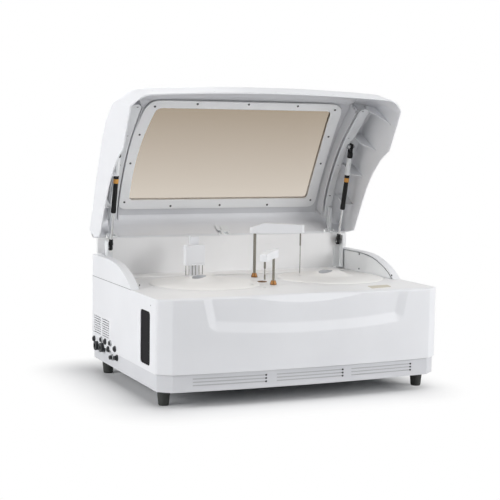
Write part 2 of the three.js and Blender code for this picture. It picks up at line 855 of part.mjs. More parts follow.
function buildSidePanels() {
  const y0 = sideFrontY + fitGap;
  const y1 = rearY;
  const right = block(sideInnerX, halfWidth, y0, y1, seamHeight, deckHeight);
  const slots = [];
  const middle = (grilleRearY + grilleFrontY) / 2;
  for (let row = 0; row < grilleRows; row += 1) {
    const top = grilleTopZ - row * grillePitch;
    for (const [from, to] of [[grilleFrontY, middle - grilleBridge / 2], [middle + grilleBridge / 2, grilleRearY]]) {
      slots.push(block(sideInnerX - cutOverrun, halfWidth + cutOverrun, from, to, top - grilleSlot, top));
    }
  }
  const grilled = cut(right, ...slots);
  add('side_panel_right', grilled, whitePlastic);
  const opening = sideSlab(windowOutline(0), -halfWidth - cutOverrun, -sideInnerX + cutOverrun);
  add('side_panel_left', cut(mirrored(grilled), opening, ...portHoles()), whitePlastic);
  const pane = sideSlab(windowOutline(fitGap), -halfWidth + windowSetBack, -halfWidth + windowSetBack + windowThick);
  add('side_window', pane, darkPlastic);
}

function windowOutline(inset) {
  const corners = [
    point(windowFrontY + inset, windowLowZ + inset), point(windowRearY - inset, windowLowZ + inset),
    point(windowRearY - inset, windowTopZ - inset), point(windowFrontY + inset, windowTopZ - inset),
  ];
  return eased(corners, windowCorner);
}

function buildRearPanel() {
  const half = sideInnerX - fitGap;
  const plate = block(-half, half, rearY - panelWall, rearY, seamHeight, deckLowZ - fitGap);
  const hole = block(
    inletX - inletWidth / 2 - fitGap, inletX + inletWidth / 2 + fitGap, rearY - panelWall - cutOverrun,
    rearY + cutOverrun, inletZ - inletHeight / 2 - fitGap, inletZ + inletHeight / 2 + fitGap);
  add('rear_panel', cut(plate, hole), whitePlastic);
  const module = block(
    inletX - inletWidth / 2, inletX + inletWidth / 2, rearY - inletDeep, rearY,
    inletZ - inletHeight / 2, inletZ + inletHeight / 2);
  const socketX = inletX + inletSocketSide;
  const socket = block(
    socketX - inletSocketWidth / 2, socketX + inletSocketWidth / 2, rearY - inletSocketDeep, rearY + cutOverrun,
    inletZ - inletSocketHeight / 2, inletZ + inletSocketHeight / 2);
  const pins = [-1, 0, 1].map((i) => (
    block(
      socketX + i * inletPin * 2 - inletPin / 4, socketX + i * inletPin * 2 + inletPin / 4,
      rearY - inletSocketDeep - inletPin, rearY - inletSocketDeep + inletPinReach,
      inletZ - inletPin / 2, inletZ + inletPin / 2)));
  const rockerX = inletX + rockerSide;
  const pocket = block(
    rockerX - rockerWidth / 2 - rockerClearance, rockerX + rockerWidth / 2 + rockerClearance,
    rearY - rockerDeep - 2 * rockerClearance, rearY + cutOverrun,
    inletZ - rockerHeight / 2 - rockerClearance, inletZ + rockerHeight / 2 + rockerClearance);
  add('power_inlet', join(cut(module, socket, pocket), ...pins), darkPlastic);
  const axisY = rearY - rockerDeep / 2;
  const half2 = rockerHeight / 2;
  const outline = [
    point(axisY - rockerDeep / 2, inletZ), point(axisY, inletZ - half2), point(rearY, inletZ - half2),
    point(rearY - rockerProud / 2, inletZ), point(rearY, inletZ + half2), point(axisY, inletZ + half2),
  ];
  const rocker = sideSlab(outline, rockerX - rockerWidth / 2, rockerX + rockerWidth / 2);
  const turn = new THREE.Matrix4().makeTranslation(0, axisY, inletZ)
    .multiply(new THREE.Matrix4().makeRotationX(-rockerTilt))
    .multiply(new THREE.Matrix4().makeTranslation(0, -axisY, -inletZ));
  add('power_switch', placed(rocker, turn), darkPlastic);
}

// Deck, rear wall and wings

const deckFrontY = sideFrontY + fitGap;
const deckHalfX = sideInnerX - fitGap;
const wallFrontY = rearY - wallFrontIn;
const wallRearY = wallFrontY + wallThick;

function buildDeck() {
  const plate = block(-deckHalfX, deckHalfX, deckFrontY, rearY - panelWall - fitGap, deckLowZ, deckHeight);
  const holes = [
    upright(wellRadius, reactionX, reactionY, deckLowZ - cutOverrun, deckHeight + cutOverrun, discSegments),
    upright(wellRadius, reagentX, reagentY, deckLowZ - cutOverrun, deckHeight + cutOverrun, discSegments),
    upright(bushSleeveRadius + fitGap, probeX, probeY, deckLowZ - cutOverrun, deckHeight + cutOverrun),
    upright(bushSleeveRadius + fitGap, mixerX, mixerY, deckLowZ - cutOverrun, deckHeight + cutOverrun),
    upright(potRadius + potWall + fitGap, potX, potY, deckLowZ - cutOverrun, deckHeight + cutOverrun),
    upright(parkHoleRadius, mixerTipX, mixerTipY, deckLowZ - cutOverrun, deckHeight + cutOverrun, 16),
  ];
  add('deck_plate', cut(plate, ...holes), whitePlastic);
}

const wingInX = halfWidth - wingWidthShare * halfWidth;
const wallLedgeFront = reagentY + coverRadius + ledgeClearance;
const wingTopZ = deckHeight + wingTopRise;

function wingCurve() {
  return wingCurveShares.map(([y, rise]) => point(y * rearY, deckHeight + rise * wingTopRise));
}

function buildWall() {
  const lowHalf = wingInX - fitGap;
  const shoulder = wingTopZ + lidRimGap;
  const z0 = deckHeight + fitGap;
  const outline = [
    point(-lowHalf, z0), point(lowHalf, z0), point(lowHalf, shoulder), point(wallUpperHalf, shoulder),
    point(wallUpperHalf, wallTopZ), point(-wallUpperHalf, wallTopZ), point(-wallUpperHalf, shoulder),
    point(-lowHalf, shoulder),
  ];
  const outer = frontSlab(outline, wallFrontY, wallRearY);
  const pocket = block(-lowHalf + wallSkin, lowHalf - wallSkin, wallFrontY + wallSkin, wallRearY - wallSkin,
    z0 - cutOverrun, wallTopZ - wallSkin);
  const ledge = block(-lowHalf + wallLedgeSide, lowHalf - wallLedgeSide, wallLedgeFront, wallFrontY + wallSkin / 2,
    z0, z0 + wallLedgeHeight);
  add('rear_wall', join(cut(outer, pocket), ledge), whitePlastic);
}

function buildWings() {
  const top = wingCurve();
  const foot = deckHeight + fitGap;
  const lifted = top.map((p) => point(p.x, Math.max(p.y, foot)));
  const outline = [...lifted, point(rearY, foot)];
  const outer = sideSlab(outline, wingInX, halfWidth);
  const innerTop = offsetLine(top, -wingSkin, false).filter((p) => p.y > foot && p.x < rearY - wingSkin);
  const pocketFrontY = innerTop[0].x;
  const innerOutline = [
    point(pocketFrontY, foot - cutOverrun), ...innerTop, point(rearY - wingSkin, wingTopZ - wingSkin),
    point(rearY - wingSkin, foot - cutOverrun),
  ];
  const pocket = sideSlab(innerOutline, wingInX + wingSkin, halfWidth - wingSkin);
  const wing = cut(outer, pocket);
  add('wing_right', wing, whitePlastic);
  add('wing_left', mirrored(wing), whitePlastic);
  const plateTop = offsetLine(top, -wingPlateInset, false).filter((p) => p.y > foot && p.x < wallFrontY);
  const plateOutline = [...plateTop, point(wallFrontY - fitGap, wingTopZ - wingPlateInset),
    point(wallFrontY - fitGap, foot)];
  const plate = sideSlab([point(plateTop[0].x, foot), ...plateOutline], wingInX - fitGap - wingPlateWall,
    wingInX - fitGap);
  add('wing_plate_right', plate, paintedSteel);
  add('wing_plate_left', mirrored(plate), paintedSteel);
}

// Discs under the deck

function bowl(x, y) {
  const top = deckLowZ - fitGap;
  const floor = top - bowlDeep;
  return turned([
    [shaftRadius + shaftClearance, floor], [bowlRadius, floor], [bowlRadius, top - bowlWall],
    [bowlFlangeRadius, top - bowlWall], [bowlFlangeRadius, top], [bowlRadius - bowlWall, top],
    [bowlRadius - bowlWall, floor + bowlWall], [shaftRadius + shaftClearance, floor + bowlWall],
    [shaftRadius + shaftClearance, floor],
  ], x, y);
}

const bowlFloorZ = deckLowZ - fitGap - bowlDeep;
const shaftLowZ = bowlFloorZ - motorBoreDeep + shaftClearance;

function motor(x, y) {
  const top = bowlFloorZ;
  const bore = shaftRadius + motorBoreClearance;
  return turned([
    [0, top - motorHeight], [motorRadius, top - motorHeight], [motorRadius, top], [bore, top],
    [bore, top - motorBoreDeep], [0, top - motorBoreDeep],
  ], x, y, 24);
}

// Places that the needle and the paddle reach on the reaction ring: both arms swing from rest to a point where
// the arm's circle meets the ring's circle.
function ringMeeting(x, y, reach, side) {
  const away = Math.hypot(x - reactionX, y - reactionY);
  const towards = Math.atan2(reactionY - y, reactionX - x);
  const bend = Math.acos((away * away + reach * reach - cuvetteRadius ** 2) / (2 * away * reach));
  const angle = towards + side * bend;
  return point(x + reach * Math.cos(angle), y + reach * Math.sin(angle));
}

const probeReach = Math.hypot(probeTipX - probeX, probeTipY - probeY);
const mixerReach = Math.hypot(mixerTipX - mixerX, mixerTipY - mixerY);
const probeDip = ringMeeting(probeX, probeY, probeReach, 1);
const mixerDip = ringMeeting(mixerX, mixerY, mixerReach, 1);
const ringPhase = Math.atan2(probeDip.y - reactionY, probeDip.x - reactionX);
const cuvettePitch = (2 * Math.PI) / cuvetteCount;

function buildReaction() {
  add('reaction_bowl', bowl(reactionX, reactionY), skirtPlastic);
  add('reaction_motor', motor(reactionX, reactionY), darkPlastic);
  const top = deckHeight - ringTopDrop;
  const low = top - ringHeight;
  const [r0, r1] = [cuvetteRadius - ringBand / 2, cuvetteRadius + ringBand / 2];
  const wheel = turned([
    [0, shaftLowZ], [shaftRadius, shaftLowZ], [shaftRadius, low], [r1, low], [r1, top], [r0, top],
    [r0, low + webThick], [hubRadius, low + webThick], [hubRadius, low + hubHeight], [0, low + hubHeight],
  ], reactionX, reactionY);
  const pockets = Array.from({ length: cuvetteCount }, (_, i) => {
    const box = new THREE.BoxGeometry(cuvetteDeep, cuvetteWide, ringHeight)
      .translate(cuvetteRadius, 0, low + cuvetteFloor + ringHeight / 2);
    return solid(box.rotateZ(ringPhase + i * cuvettePitch).translate(reactionX, reactionY, 0));
  });
  add('reaction_ring', cut(wheel, ...pockets), skirtPlastic);
}

function buildReagent() {
  add('reagent_bowl', bowl(reagentX, reagentY), skirtPlastic);
  add('reagent_motor', motor(reagentX, reagentY), darkPlastic);
  const top = deckHeight - carouselTopDrop;
  const low = top - carouselHeight;
  const wheel = turned([
    [0, shaftLowZ], [shaftRadius, shaftLowZ], [shaftRadius, low], [carouselOuter, low], [carouselOuter, top],
    [carouselInner, top], [carouselInner, low + webThick], [hubRadius, low + webThick],
    [hubRadius, low + hubHeight], [0, low + hubHeight],
  ], reagentX, reagentY);
  const phase = Math.atan2(probeTipY - reagentY, probeTipX - reagentX);
  const cupRing = Math.hypot(probeTipX - reagentX, probeTipY - reagentY);
  const holes = [];
  for (let i = 0; i < cupCount; i += 1) {
    const angle = phase + (2 * Math.PI * i) / cupCount;
    holes.push(upright(cupRadius, reagentX + cupRing * Math.cos(angle), reagentY + cupRing * Math.sin(angle),
      low + webThick, top + cutOverrun, cupSides));
  }
  for (let i = 0; i < bottleCount; i += 1) {
    const middle = phase + (2 * Math.PI * i) / bottleCount;
    const half = (bottleShare * Math.PI) / bottleCount;
    const outline = [
      ...circle(bottleInner, reagentX, reagentY, 2, middle - half, middle + half),
      ...circle(bottleOuter, reagentX, reagentY, 2, middle + half, middle - half),
    ];
    holes.push(slab(outline, low + webThick, top + cutOverrun));
  }
  add('reagent_carousel', cut(wheel, ...holes), skirtPlastic);
}

function cover(x, y) {
  const z = deckHeight + fitGap;
  const under = z + coverRise - coverWall;
  const shell = turned([
    [0, under], [coverRadius - 5 * coverEdge, z + coverEdge / 2], [coverRadius - 2 * coverEdge, z],
    [coverRadius, z], [coverRadius, z + coverEdge], [coverRadius - 5 * coverEdge, z + 2 * coverEdge],
    [2 * gripRadius, z + coverRise], [gripRadius, z + coverRise + coverEdge / 2],
    [gripRadius * 0.72, z + coverRise + gripRise * 0.45], [gripTopRadius * 1.6, z + coverRise + gripRise * 0.88],
    [gripTopRadius, z + coverRise + gripRise], [0, z + coverRise + gripRise],
  ], x, y);
  const ball = new THREE.SphereGeometry(scoopRadius, 16, 12)
    .translate(x + scoopSideX, y + scoopSideY, z + scoopRise + scoopRadius);
  return cut(shell, solid(ball));
}

const accessRadius = 8;

function buildCovers() {
  const z = deckHeight;
  const reach = coverRise + gripRise + cutOverrun;
  const probeHole = upright(accessRadius, probeDip.x, probeDip.y, z - cutOverrun, z + reach, 16);
  const mixerHole = upright(accessRadius, mixerDip.x, mixerDip.y, z - cutOverrun, z + reach, 16);
  const first = ringPhase + (washFirstPocket - 0.6) * cuvettePitch;
  const last = ringPhase + (washFirstPocket + washPockets - 0.4) * cuvettePitch;
  const slotOutline = [
    ...circle(cuvetteRadius + washSlotHalf, reactionX, reactionY, 12, first, last),
    ...circle(cuvetteRadius - washSlotHalf, reactionX, reactionY, 12, last, first),
  ];
  const slot = slab(slotOutline, z - cutOverrun, z + reach);
  add('reaction_cover', cut(cover(reactionX, reactionY), probeHole, mixerHole, slot), whitePlastic);
  const needleHole = upright(accessRadius, probeTipX, probeTipY, z - cutOverrun, z + reach, 16);
  add('reagent_cover', cut(cover(reagentX, reagentY), needleHole), whitePlastic);
}

// Probe and mixer

function bush(x, y, radius) {
  const z = deckHeight + fitGap;
  const bore = radius + fitGap;
  return turned([
    [bore, z - bushSleeveDeep], [bushSleeveRadius, z - bushSleeveDeep], [bushSleeveRadius, z],
    [bushFlangeRadius, z], [bushFlangeRadius, z + bushFlange], [bushTopRadius, z + bushHeight],
    [bore, z + bushHeight], [bore, z - bushSleeveDeep],
  ], x, y, 20);
}

// An arm seen from above is a tapered outline, and seen from the side a second outline: the arm is what both share
function armBody(x, y, heading, plan, side, halfWide) {
  const upper = slab(plan, Math.min(...side.map((p) => p.y)) - cutOverrun, Math.max(...side.map((p) => p.y)) + cutOverrun);
  const sideways = frontSlab(side, -halfWide - cutOverrun, halfWide + cutOverrun);
  const turn = new THREE.Matrix4().makeTranslation(x, y, 0).multiply(new THREE.Matrix4().makeRotationZ(heading));
  return placed(upper.intersect(sideways), turn);
}

function buildProbe() {
  const heading = Math.atan2(probeTipY - probeY, probeTipX - probeX);
  const low = probeArmLowZ;
  const high = low + probeArmHeight;
  const end = probeReach + probeArmTipHalf;
  add('probe_bush', bush(probeX, probeY, probeShaftRadius), brass);
  add('probe_column', upright(probeShaftRadius, probeX, probeY, probeShaftLowZ, low + shaftSocketDeep - fitGap, 16), steel);
  const plan = [
    ...circle(probeArmHalfWide, 0, 0, 8, Math.PI / 2, 1.5 * Math.PI),
    ...circle(probeArmTipHalf, probeReach, 0, 8, -Math.PI / 2, Math.PI / 2),
  ];
  const side = [
    point(-probeArmTail, low), point(probeArmHalfWide, low), point(end, low + probeArmHeight * 0.1),
    point(end, high - probeArmHeight * 0.12), point(probeArmTail * 1.6, high), point(-probeArmTail, high - probeArmHeight * 0.5),
  ];
  const arm = armBody(probeX, probeY, heading, plan, side, probeArmHalfWide);
  const socket = upright(probeShaftRadius + fitGap, probeX, probeY, low - cutOverrun, low + shaftSocketDeep, 16);
  const needleSocket = upright(needleSleeveRadius + fitGap, probeTipX, probeTipY, low - cutOverrun,
    low + shaftSocketDeep / 2, 12);
  add('probe_arm', cut(arm, socket, needleSocket), whitePlastic);
  const top = low + shaftSocketDeep / 2 - fitGap;
  const sleeveLow = top - needleSleeveLength;
  add('probe_needle', turned([
    [0, probeTipZ], [needleRadius / 2, probeTipZ], [needleRadius, probeTipZ + 4 * needleRadius],
    [needleRadius, sleeveLow - needleRadius], [needleSleeveRadius, sleeveLow], [needleSleeveRadius, top], [0, top],
  ], probeTipX, probeTipY, 12), steel);
}

function buildMixer() {
  const heading = Math.atan2(mixerTipY - mixerY, mixerTipX - mixerX);
  const low = mixerArmLowZ;
  const high = low + mixerArmHeight;
  const end = mixerReach + mixerHeadLength / 2;
  const head = mixerReach - mixerHeadLength / 2;
  add('mixer_bush', bush(mixerX, mixerY, mixerShaftRadius), brass);
  add('mixer_column', upright(mixerShaftRadius, mixerX, mixerY, mixerShaftLowZ, low + shaftSocketDeep / 2 - fitGap, 16), steel);
  const plan = [
    ...circle(mixerArmHalfWide, 0, 0, 6, Math.PI / 2, 1.5 * Math.PI).map((p) => point(p.x * (mixerArmTail / mixerArmHalfWide), p.y)),
    point(end, -mixerArmHalfWide), point(end, mixerArmHalfWide),
  ];
  const side = [
    point(-mixerArmTail, low + mixerArmHeight * 0.25), point(-mixerArmHalfWide, low), point(head, low),
    point(head + mixerHeadDrop, low - mixerHeadDrop), point(end, low - mixerHeadDrop),
    point(end, low + mixerArmHeight * 0.62), point(head, low + mixerArmHeight * 0.8), point(-mixerArmTail, high),
  ];
  const arm = armBody(mixerX, mixerY, heading, plan, side, mixerArmHalfWide);
  const socket = upright(mixerShaftRadius + fitGap, mixerX, mixerY, low - cutOverrun, low + shaftSocketDeep / 2, 16);
  add('mixer_arm', cut(arm, socket), whitePlastic);
  const top = low - mixerHeadDrop - fitGap;
  const stem = turned([
    [0, mixerTipZ + paddleHeight / 2], [paddleShaftRadius, mixerTipZ + paddleHeight / 2],
    [paddleShaftRadius, top - paddleCouplingLength], [paddleCouplingRadius, top - paddleCouplingLength],
    [paddleCouplingRadius, top], [0, top],
  ], mixerTipX, mixerTipY, 12);
  const blade = block(mixerTipX - paddleWide / 2, mixerTipX + paddleWide / 2, mixerTipY - paddleThick / 2,
    mixerTipY + paddleThick / 2, mixerTipZ, mixerTipZ + paddleHeight);
  add('mixer_paddle', join(stem, blade), darkPlastic);
}

function buildWash() {
  const z = deckHeight + fitGap;
  const floor = z - potDeep;
  add('wash_pot', turned([
    [0, floor], [potRadius + potWall, floor], [potRadius + potWall, z], [potFlangeRadius, z],
    [potFlangeRadius, z + potFlange], [potRadius, z + potFlange], [potRadius, floor + potWall], [0, floor + potWall],
  ], potX, potY, 24), potBrown);
  add('wash_post', block(washPostX - washPostWide / 2, washPostX + washPostWide / 2, washPostFrontY, washPostRearY,
    z, washPostTopZ), whitePlastic);
  const tips = [];
  for (let i = 0; i < washPockets; i += 1) {
    for (const part of [-0.25, 0.25]) {
      const angle = ringPhase + (washFirstPocket + i + part) * cuvettePitch;
      tips.push(point(reactionX + cuvetteRadius * Math.cos(angle), reactionY + cuvetteRadius * Math.sin(angle)));
    }
  }
  const x0 = Math.min(...tips.map((p) => p.x)) - washHeadSide;
  const x1 = Math.max(...tips.map((p) => p.x)) + washHeadSide;
  const frontY = Math.min(...tips.map((p) => p.y)) - washHeadSide;
  const headLow = washPlateZ + washPlateThick;
  const head = block(x0, x1, frontY, washHeadRearY, headLow, washHeadTopZ);
  const tail = block(washPostX - washBracketWide / 2, washPostX + washBracketWide / 2, washHeadRearY - cutOverrun,
    washPostFrontY - fitGap, headLow + washHeadSide, washHeadTopZ - washHeadSide);
  add('wash_head', join(head, tail), whitePlastic);
  const plate = block(x0 + fitGap, x1 - fitGap, frontY + fitGap, washHeadRearY - fitGap, washPlateZ, headLow);
  const needles = tips.map((p) => upright(washNeedleRadius, p.x, p.y, washTipZ, washPlateZ + washPlateThick / 2, 8));
  add('wash_manifold', join(plate, ...needles), steel);
}

// Inside the body

function buildInside() {
  const z = chassisTopZ;
  const supply = block(supplyX0, supplyX1, supplyY0, supplyY1, z, z + supplyHeight);
  const middleX = (supplyX0 + supplyX1) / 2;
  const vent = block(middleX - supplyVent / 2, middleX + supplyVent / 2, supplyY1 - supplyVentDeep,
    supplyY1 + cutOverrun, z + supplyHeight / 2 - supplyVent / 2, z + supplyHeight / 2 + supplyVent / 2);
  add('power_supply', cut(supply, vent), paintedSteel);
  const board = block(boardX0, boardX1, boardY0, boardY1, z + boardRise, z + boardRise + boardThick);
  const extras = [];
  for (const x of [boardX0, boardX1 - boardStand]) {
    for (const y of [boardY0, boardY1 - boardStand]) {
      extras.push(block(x, x + boardStand, y, y + boardStand, z, z + boardRise + boardThick / 2));
    }
  }
  for (const share of [0.25, 0.5, 0.75]) {
    const x = boardX0 + (boardX1 - boardX0) * share;
    extras.push(block(x - chipSize / 2, x + chipSize / 2, (boardY0 + boardY1) / 2 - chipSize / 2,
      (boardY0 + boardY1) / 2 + chipSize / 2, z + boardRise, z + boardRise + boardThick + chipHeight));
  }
  add('control_board', join(board, ...extras), boardGreen);
  const housing = block(pumpX - pumpWide / 2, pumpX + pumpWide / 2, pumpY - pumpDeep / 2, pumpY + pumpDeep / 2,
    z, z + pumpHeight);
  const barrels = [-1, 1].map((side) => upright(pumpBarrelRadius, pumpX + (side * pumpWide) / 4, pumpY,
    z + pumpHeight - cutOverrun, z + pumpHeight + pumpBarrelHeight, 16));
  add('syringe_pump', join(housing, ...barrels), skirtPlastic);
}

// Lid

const hingeY = rearY;
const hingeZ = wallTopZ + hingeRise;
const lidRimZ = deckHeight + lidRimGap;

const lid = new THREE.Group();
lid.position.set(0, hingeY, hingeZ);
lid.rotation.x = -openAngle;
const shut = new THREE.Group();
shut.position.set(0, -hingeY, -hingeZ);
lid.add(shut);
body.add(lid);

const lidFrontY = lidFrontIn - rearY;
const crownRearY = rearY + crownRearOut;
const crownFrontY = lidFrontY + crownFrontBack;
const lidFaceHalfX = halfWidth - lidCornerX;

function lidFrontLineY(x) {
  const ax = Math.abs(x);
  const bowed = lidFrontY + lidBowSag * Math.min(ax / lidFaceHalfX, 1) ** 2;
  return bowed + lidCornerY * Math.max(0, (ax - lidFaceHalfX) / lidCornerX);
}

const plateauZ = (y) => plateauRearZ + (y - plateauRearY) * Math.tan(plateauTilt);
const smooth = (t) => t * t * (3 - 2 * t);

// The window and the plateau round it are arched: a parabola over their length, taken straight between the crown's
// points so that glass, bezel and shell keep the same gaps all along.
const archKnots = [
  rearY + middleRearOut, rearY - middleRearIn,
  ...plateauShares.map((share) => plateauRearY + share * (archFrontY - plateauRearY)),
];
function archHeight(y) {
  const t = (2 * y - archRearY - archFrontY) / (archRearY - archFrontY);
  return windowArch * Math.max(0, 1 - t * t);
}
function arch(y) {
  const i = archKnots.findIndex((knot) => knot <= y);
  if (i < 1) return 0;
  const [high, low] = [archKnots[i - 1], archKnots[i]];
  return THREE.MathUtils.lerp(archHeight(low), archHeight(high), (y - low) / (high - low));
}

// Crown of the lid over one X station, from the rear skirt forward to the front rim
function lidCrown(x) {
  const ax = Math.abs(x);
  const side = smooth(Math.min(1, Math.max(0, (ax - plateauHalf) / (halfWidth - edgeRound - plateauHalf))));
  const round = edgeRound * Math.max(0, (ax - (halfWidth - edgeRound)) / edgeRound) ** 2;
  const crown = [point(rearY + lidRearOut, hingeZ - lidSkirtLow)];
  sideCrownShares.forEach(([yShare, zShare], i) => {
    const sideZ = lidRimZ + zShare * lidHeight;
    const flatY = archKnots[i];
    const rise = arch(flatY);
    const middleY = flatY - rise * Math.sin(plateauTilt);
    const rearDrop = i === 0 ? 10 * lidWall : i === 1 ? 2 * lidWall : 0;
    const middleZ = plateauZ(flatY) + rise * Math.cos(plateauTilt) - rearDrop;
    crown.push(point(
      THREE.MathUtils.lerp(middleY, crownRearY + yShare * (crownFrontY - crownRearY), side), THREE.MathUtils.lerp(middleZ, sideZ, side) - round));
  });
  const frontY = lidFrontLineY(x);
  [...lidFrontShares].reverse().forEach(([back, rise], i) => {
    const y = frontY + back * lidHeight;
    const z = lidRimZ + rise * lidHeight;
    const level = i === 0 ? THREE.MathUtils.lerp(plateauZ(y), z, side) : z;
    crown.push(point(y, level - round * rise));
  });
  return crown;
}

const lidStations = [
  halfWidth, halfWidth - edgeRound / 2, halfWidth - edgeRound, lidFaceHalfX + lidCornerX / 3, lidFaceHalfX,
  (lidFaceHalfX + linerHalf) / 2, linerHalf, plateauHalf, plateauHalf * 0.66, plateauHalf * 0.33, 0,
];
const allStations = [...lidStations.map((x) => -x), ...lidStations.slice(0, -1).reverse()];

function rimCurve() {
  const curve = wingCurve().map((p) => point(p.x, p.y + lidRimGap));
  return curve.filter((p) => p.x < rearY - wallFrontIn).concat([point(rearY - wallFrontIn - 2 * lidWall, wingTopZ + lidRimGap)]);
}

function lidOuter() {
  const rim = rimCurve();
  return loft(allStations.map((x) => (
    [...lidCrown(x), ...rim].map((p) => new THREE.Vector3(x, p.x, p.y)))), (p) => point(p.y, p.z));
}

// The room inside the lid at a distance under its outer skin, open downwards
function lidRoom(depth, halfX, side = depth) {
  const stations = allStations.map((x) => Math.sign(x) * Math.min(Math.abs(x), halfX));
  const unique = stations.filter((x, i) => i === 0 || x - stations[i - 1] > weldTolerance);
  const low = deckHeight - 4 * cutOverrun;
  return loft(unique.map((x) => {
    const crown = offsetLine(lidCrown(Math.min(Math.abs(x), halfWidth - side)), depth, false);
    const inner = [point(crown[0].x, low), ...crown.slice(0, -1), point(crown[crown.length - 1].x, crown[crown.length - 1].y),
      point(crown[crown.length - 1].x, low)];
    return inner.map((p) => new THREE.Vector3(x, p.x, p.y));
  }), (p) => point(p.y, p.z));
}

// Window pieces lie in a plane that is tilted like the lid's top: drawn flat, then tilted
const glassPlane = new THREE.Matrix4().makeTranslation(0, plateauRearY, plateauRearZ - glassSink)
  .multiply(new THREE.Matrix4().makeRotationX(plateauTilt));
const alongGlass = (y) => (y - plateauRearY) / Math.cos(plateauTilt);

function windowShape(rear, front, rearHalf, frontHalf, rearCorner, frontCorner) {
  const middleHalf = (rearHalf + frontHalf) / 2 + sideBow;
  const middle = alongGlass((rear + front) / 2);
  const bowEase = (sideBowEaseShare * (rear - front)) / 2;
  const corners = [
    point(-frontHalf, alongGlass(front)), point(frontHalf, alongGlass(front)), point(middleHalf, middle),
    point(rearHalf, alongGlass(rear)), point(-rearHalf, alongGlass(rear)), point(-middleHalf, middle),
  ];
  return eased(corners, [frontCorner, frontCorner, bowEase, rearCorner, rearCorner, bowEase], 5);
}

const openingShape = (lap = 0) => windowShape(openingRearY + lap, openingFrontY - lap, openingRearHalf + lap,
  openingFrontHalf + lap, openingCorner, openingFrontCorner);
const inGlassPlane = (outline, z0, z1) => placed(slab(outline, z0, z1), glassPlane);

function bezelShape(extra = 0) {
  return windowShape(openingRearY + bezelBandRear + extra, openingFrontY - bezelBandFront - extra,
    openingRearHalf + bezelBandSide + extra, openingFrontHalf + bezelBandSide + extra, bezelCorner, bezelFrontCorner);
}

// A piece of the window: a sheet that follows the arch, kept where its outline stands over the glass plane
function arched(outline, z0, z1, hole) {
  const line = (z) => [...archKnots, -rearY].map((y) => point(alongGlass(y), z + arch(y)));
  const sheet = sideSlab([...line(z0), ...line(z1).reverse()], -halfWidth, halfWidth);
  const high = z1 + windowArch + cutOverrun;
  const whole = slab(outline, z0 - cutOverrun, high);
  const stock = hole ? cut(whole, slab(hole, z0 - 2 * cutOverrun, high + cutOverrun)) : whole;
  return placed(sheet.intersect(stock), glassPlane);
}

function hingeNotch(x, half) {
  return block(x - half, x + half, rearY - 2 * knuckleRadius, rearY + 2 * knuckleRadius, hingeZ - 2 * lidSkirtLow,
    hingeZ + knuckleRadius + notchMargin);
}

function buildLidShell() {
  const outer = lidOuter();
  const half = knuckleWidth / 2 + lugWidth + notchMargin;
  const ribs = [];
  for (const [yShare, zShare] of ribShares) {
    const y = yShare * rearY;
    const outX = halfWidth - lidWall / 2;
    const top = lidRimZ + lidHeight;
    const outline = [
      point(ribInX, ribLowZ), point(outX, lidRimZ + zShare * lidHeight), point(outX, top), point(ribInX, top),
    ];
    const rib = frontSlab(outline, y - ribThick / 2, y + ribThick / 2).intersect(outer);
    ribs.push(rib, mirrored(rib));
  }
  const shell = cut(outer, lidRoom(lidWall, halfWidth - lidWall));
  const opening = inGlassPlane(openingShape(), -10 * lidWall, 10 * lidWall);
  const notches = [-sideHingeX, 0, sideHingeX].map((x) => hingeNotch(x, half));
  add('lid_shell', cut(join(shell, ...ribs), opening, ...notches).simplify(fitGap / 20), whitePlastic, shut);
}

function buildWindow() {
  const opening = openingShape();
  add('lid_window', arched(openingShape(glassLap), 0, glassThick), glassTint, shut);
  const frame = arched(bezelShape(), -bezelThick - fitGap, -fitGap, opening);
  add('window_bezel', frame, bezelPlastic, shut);
}

const armCurve = () => armCurveShares.map(([y, z]) => (
  point(armFrontY + y * (armRearY - armFrontY), hingeZ + z * lidHeight)));

function buildLiner() {
  const depth = lidWall + fitGap;
  const outer = lidRoom(depth, linerHalf);
  const inner = lidRoom(depth + linerWall, linerHalf + cutOverrun, cutOverrun);
  const keep = block(-linerHalf, linerHalf, lidFrontY - cutOverrun, rearY - 4 * lidWall, lidRimZ + 2 * lidWall,
    plateauRearZ + lidHeight);
  const skin = cut(outer, inner).intersect(keep);
  const hole = inGlassPlane(bezelShape(linerLipGap), -10 * lidWall, 10 * lidWall);
  const curve = armCurve();
  const strip = [...curve, ...curve.slice().reverse().map((p) => point(p.x, p.y + 7 * armDepth))];
  const wall = sideSlab(strip, linerHalf - linerWall, linerHalf).intersect(outer);
  add('lid_liner', join(cut(skin, hole), wall, mirrored(wall)), linerPlastic, shut);
}

function heightAt(curve, y) {
  const i = Math.max(1, curve.findIndex((p) => p.x >= y));
  const [a, b] = [curve[i - 1], curve[i]];
  return a.y + ((b.y - a.y) * (y - a.x)) / (b.x - a.x);
}

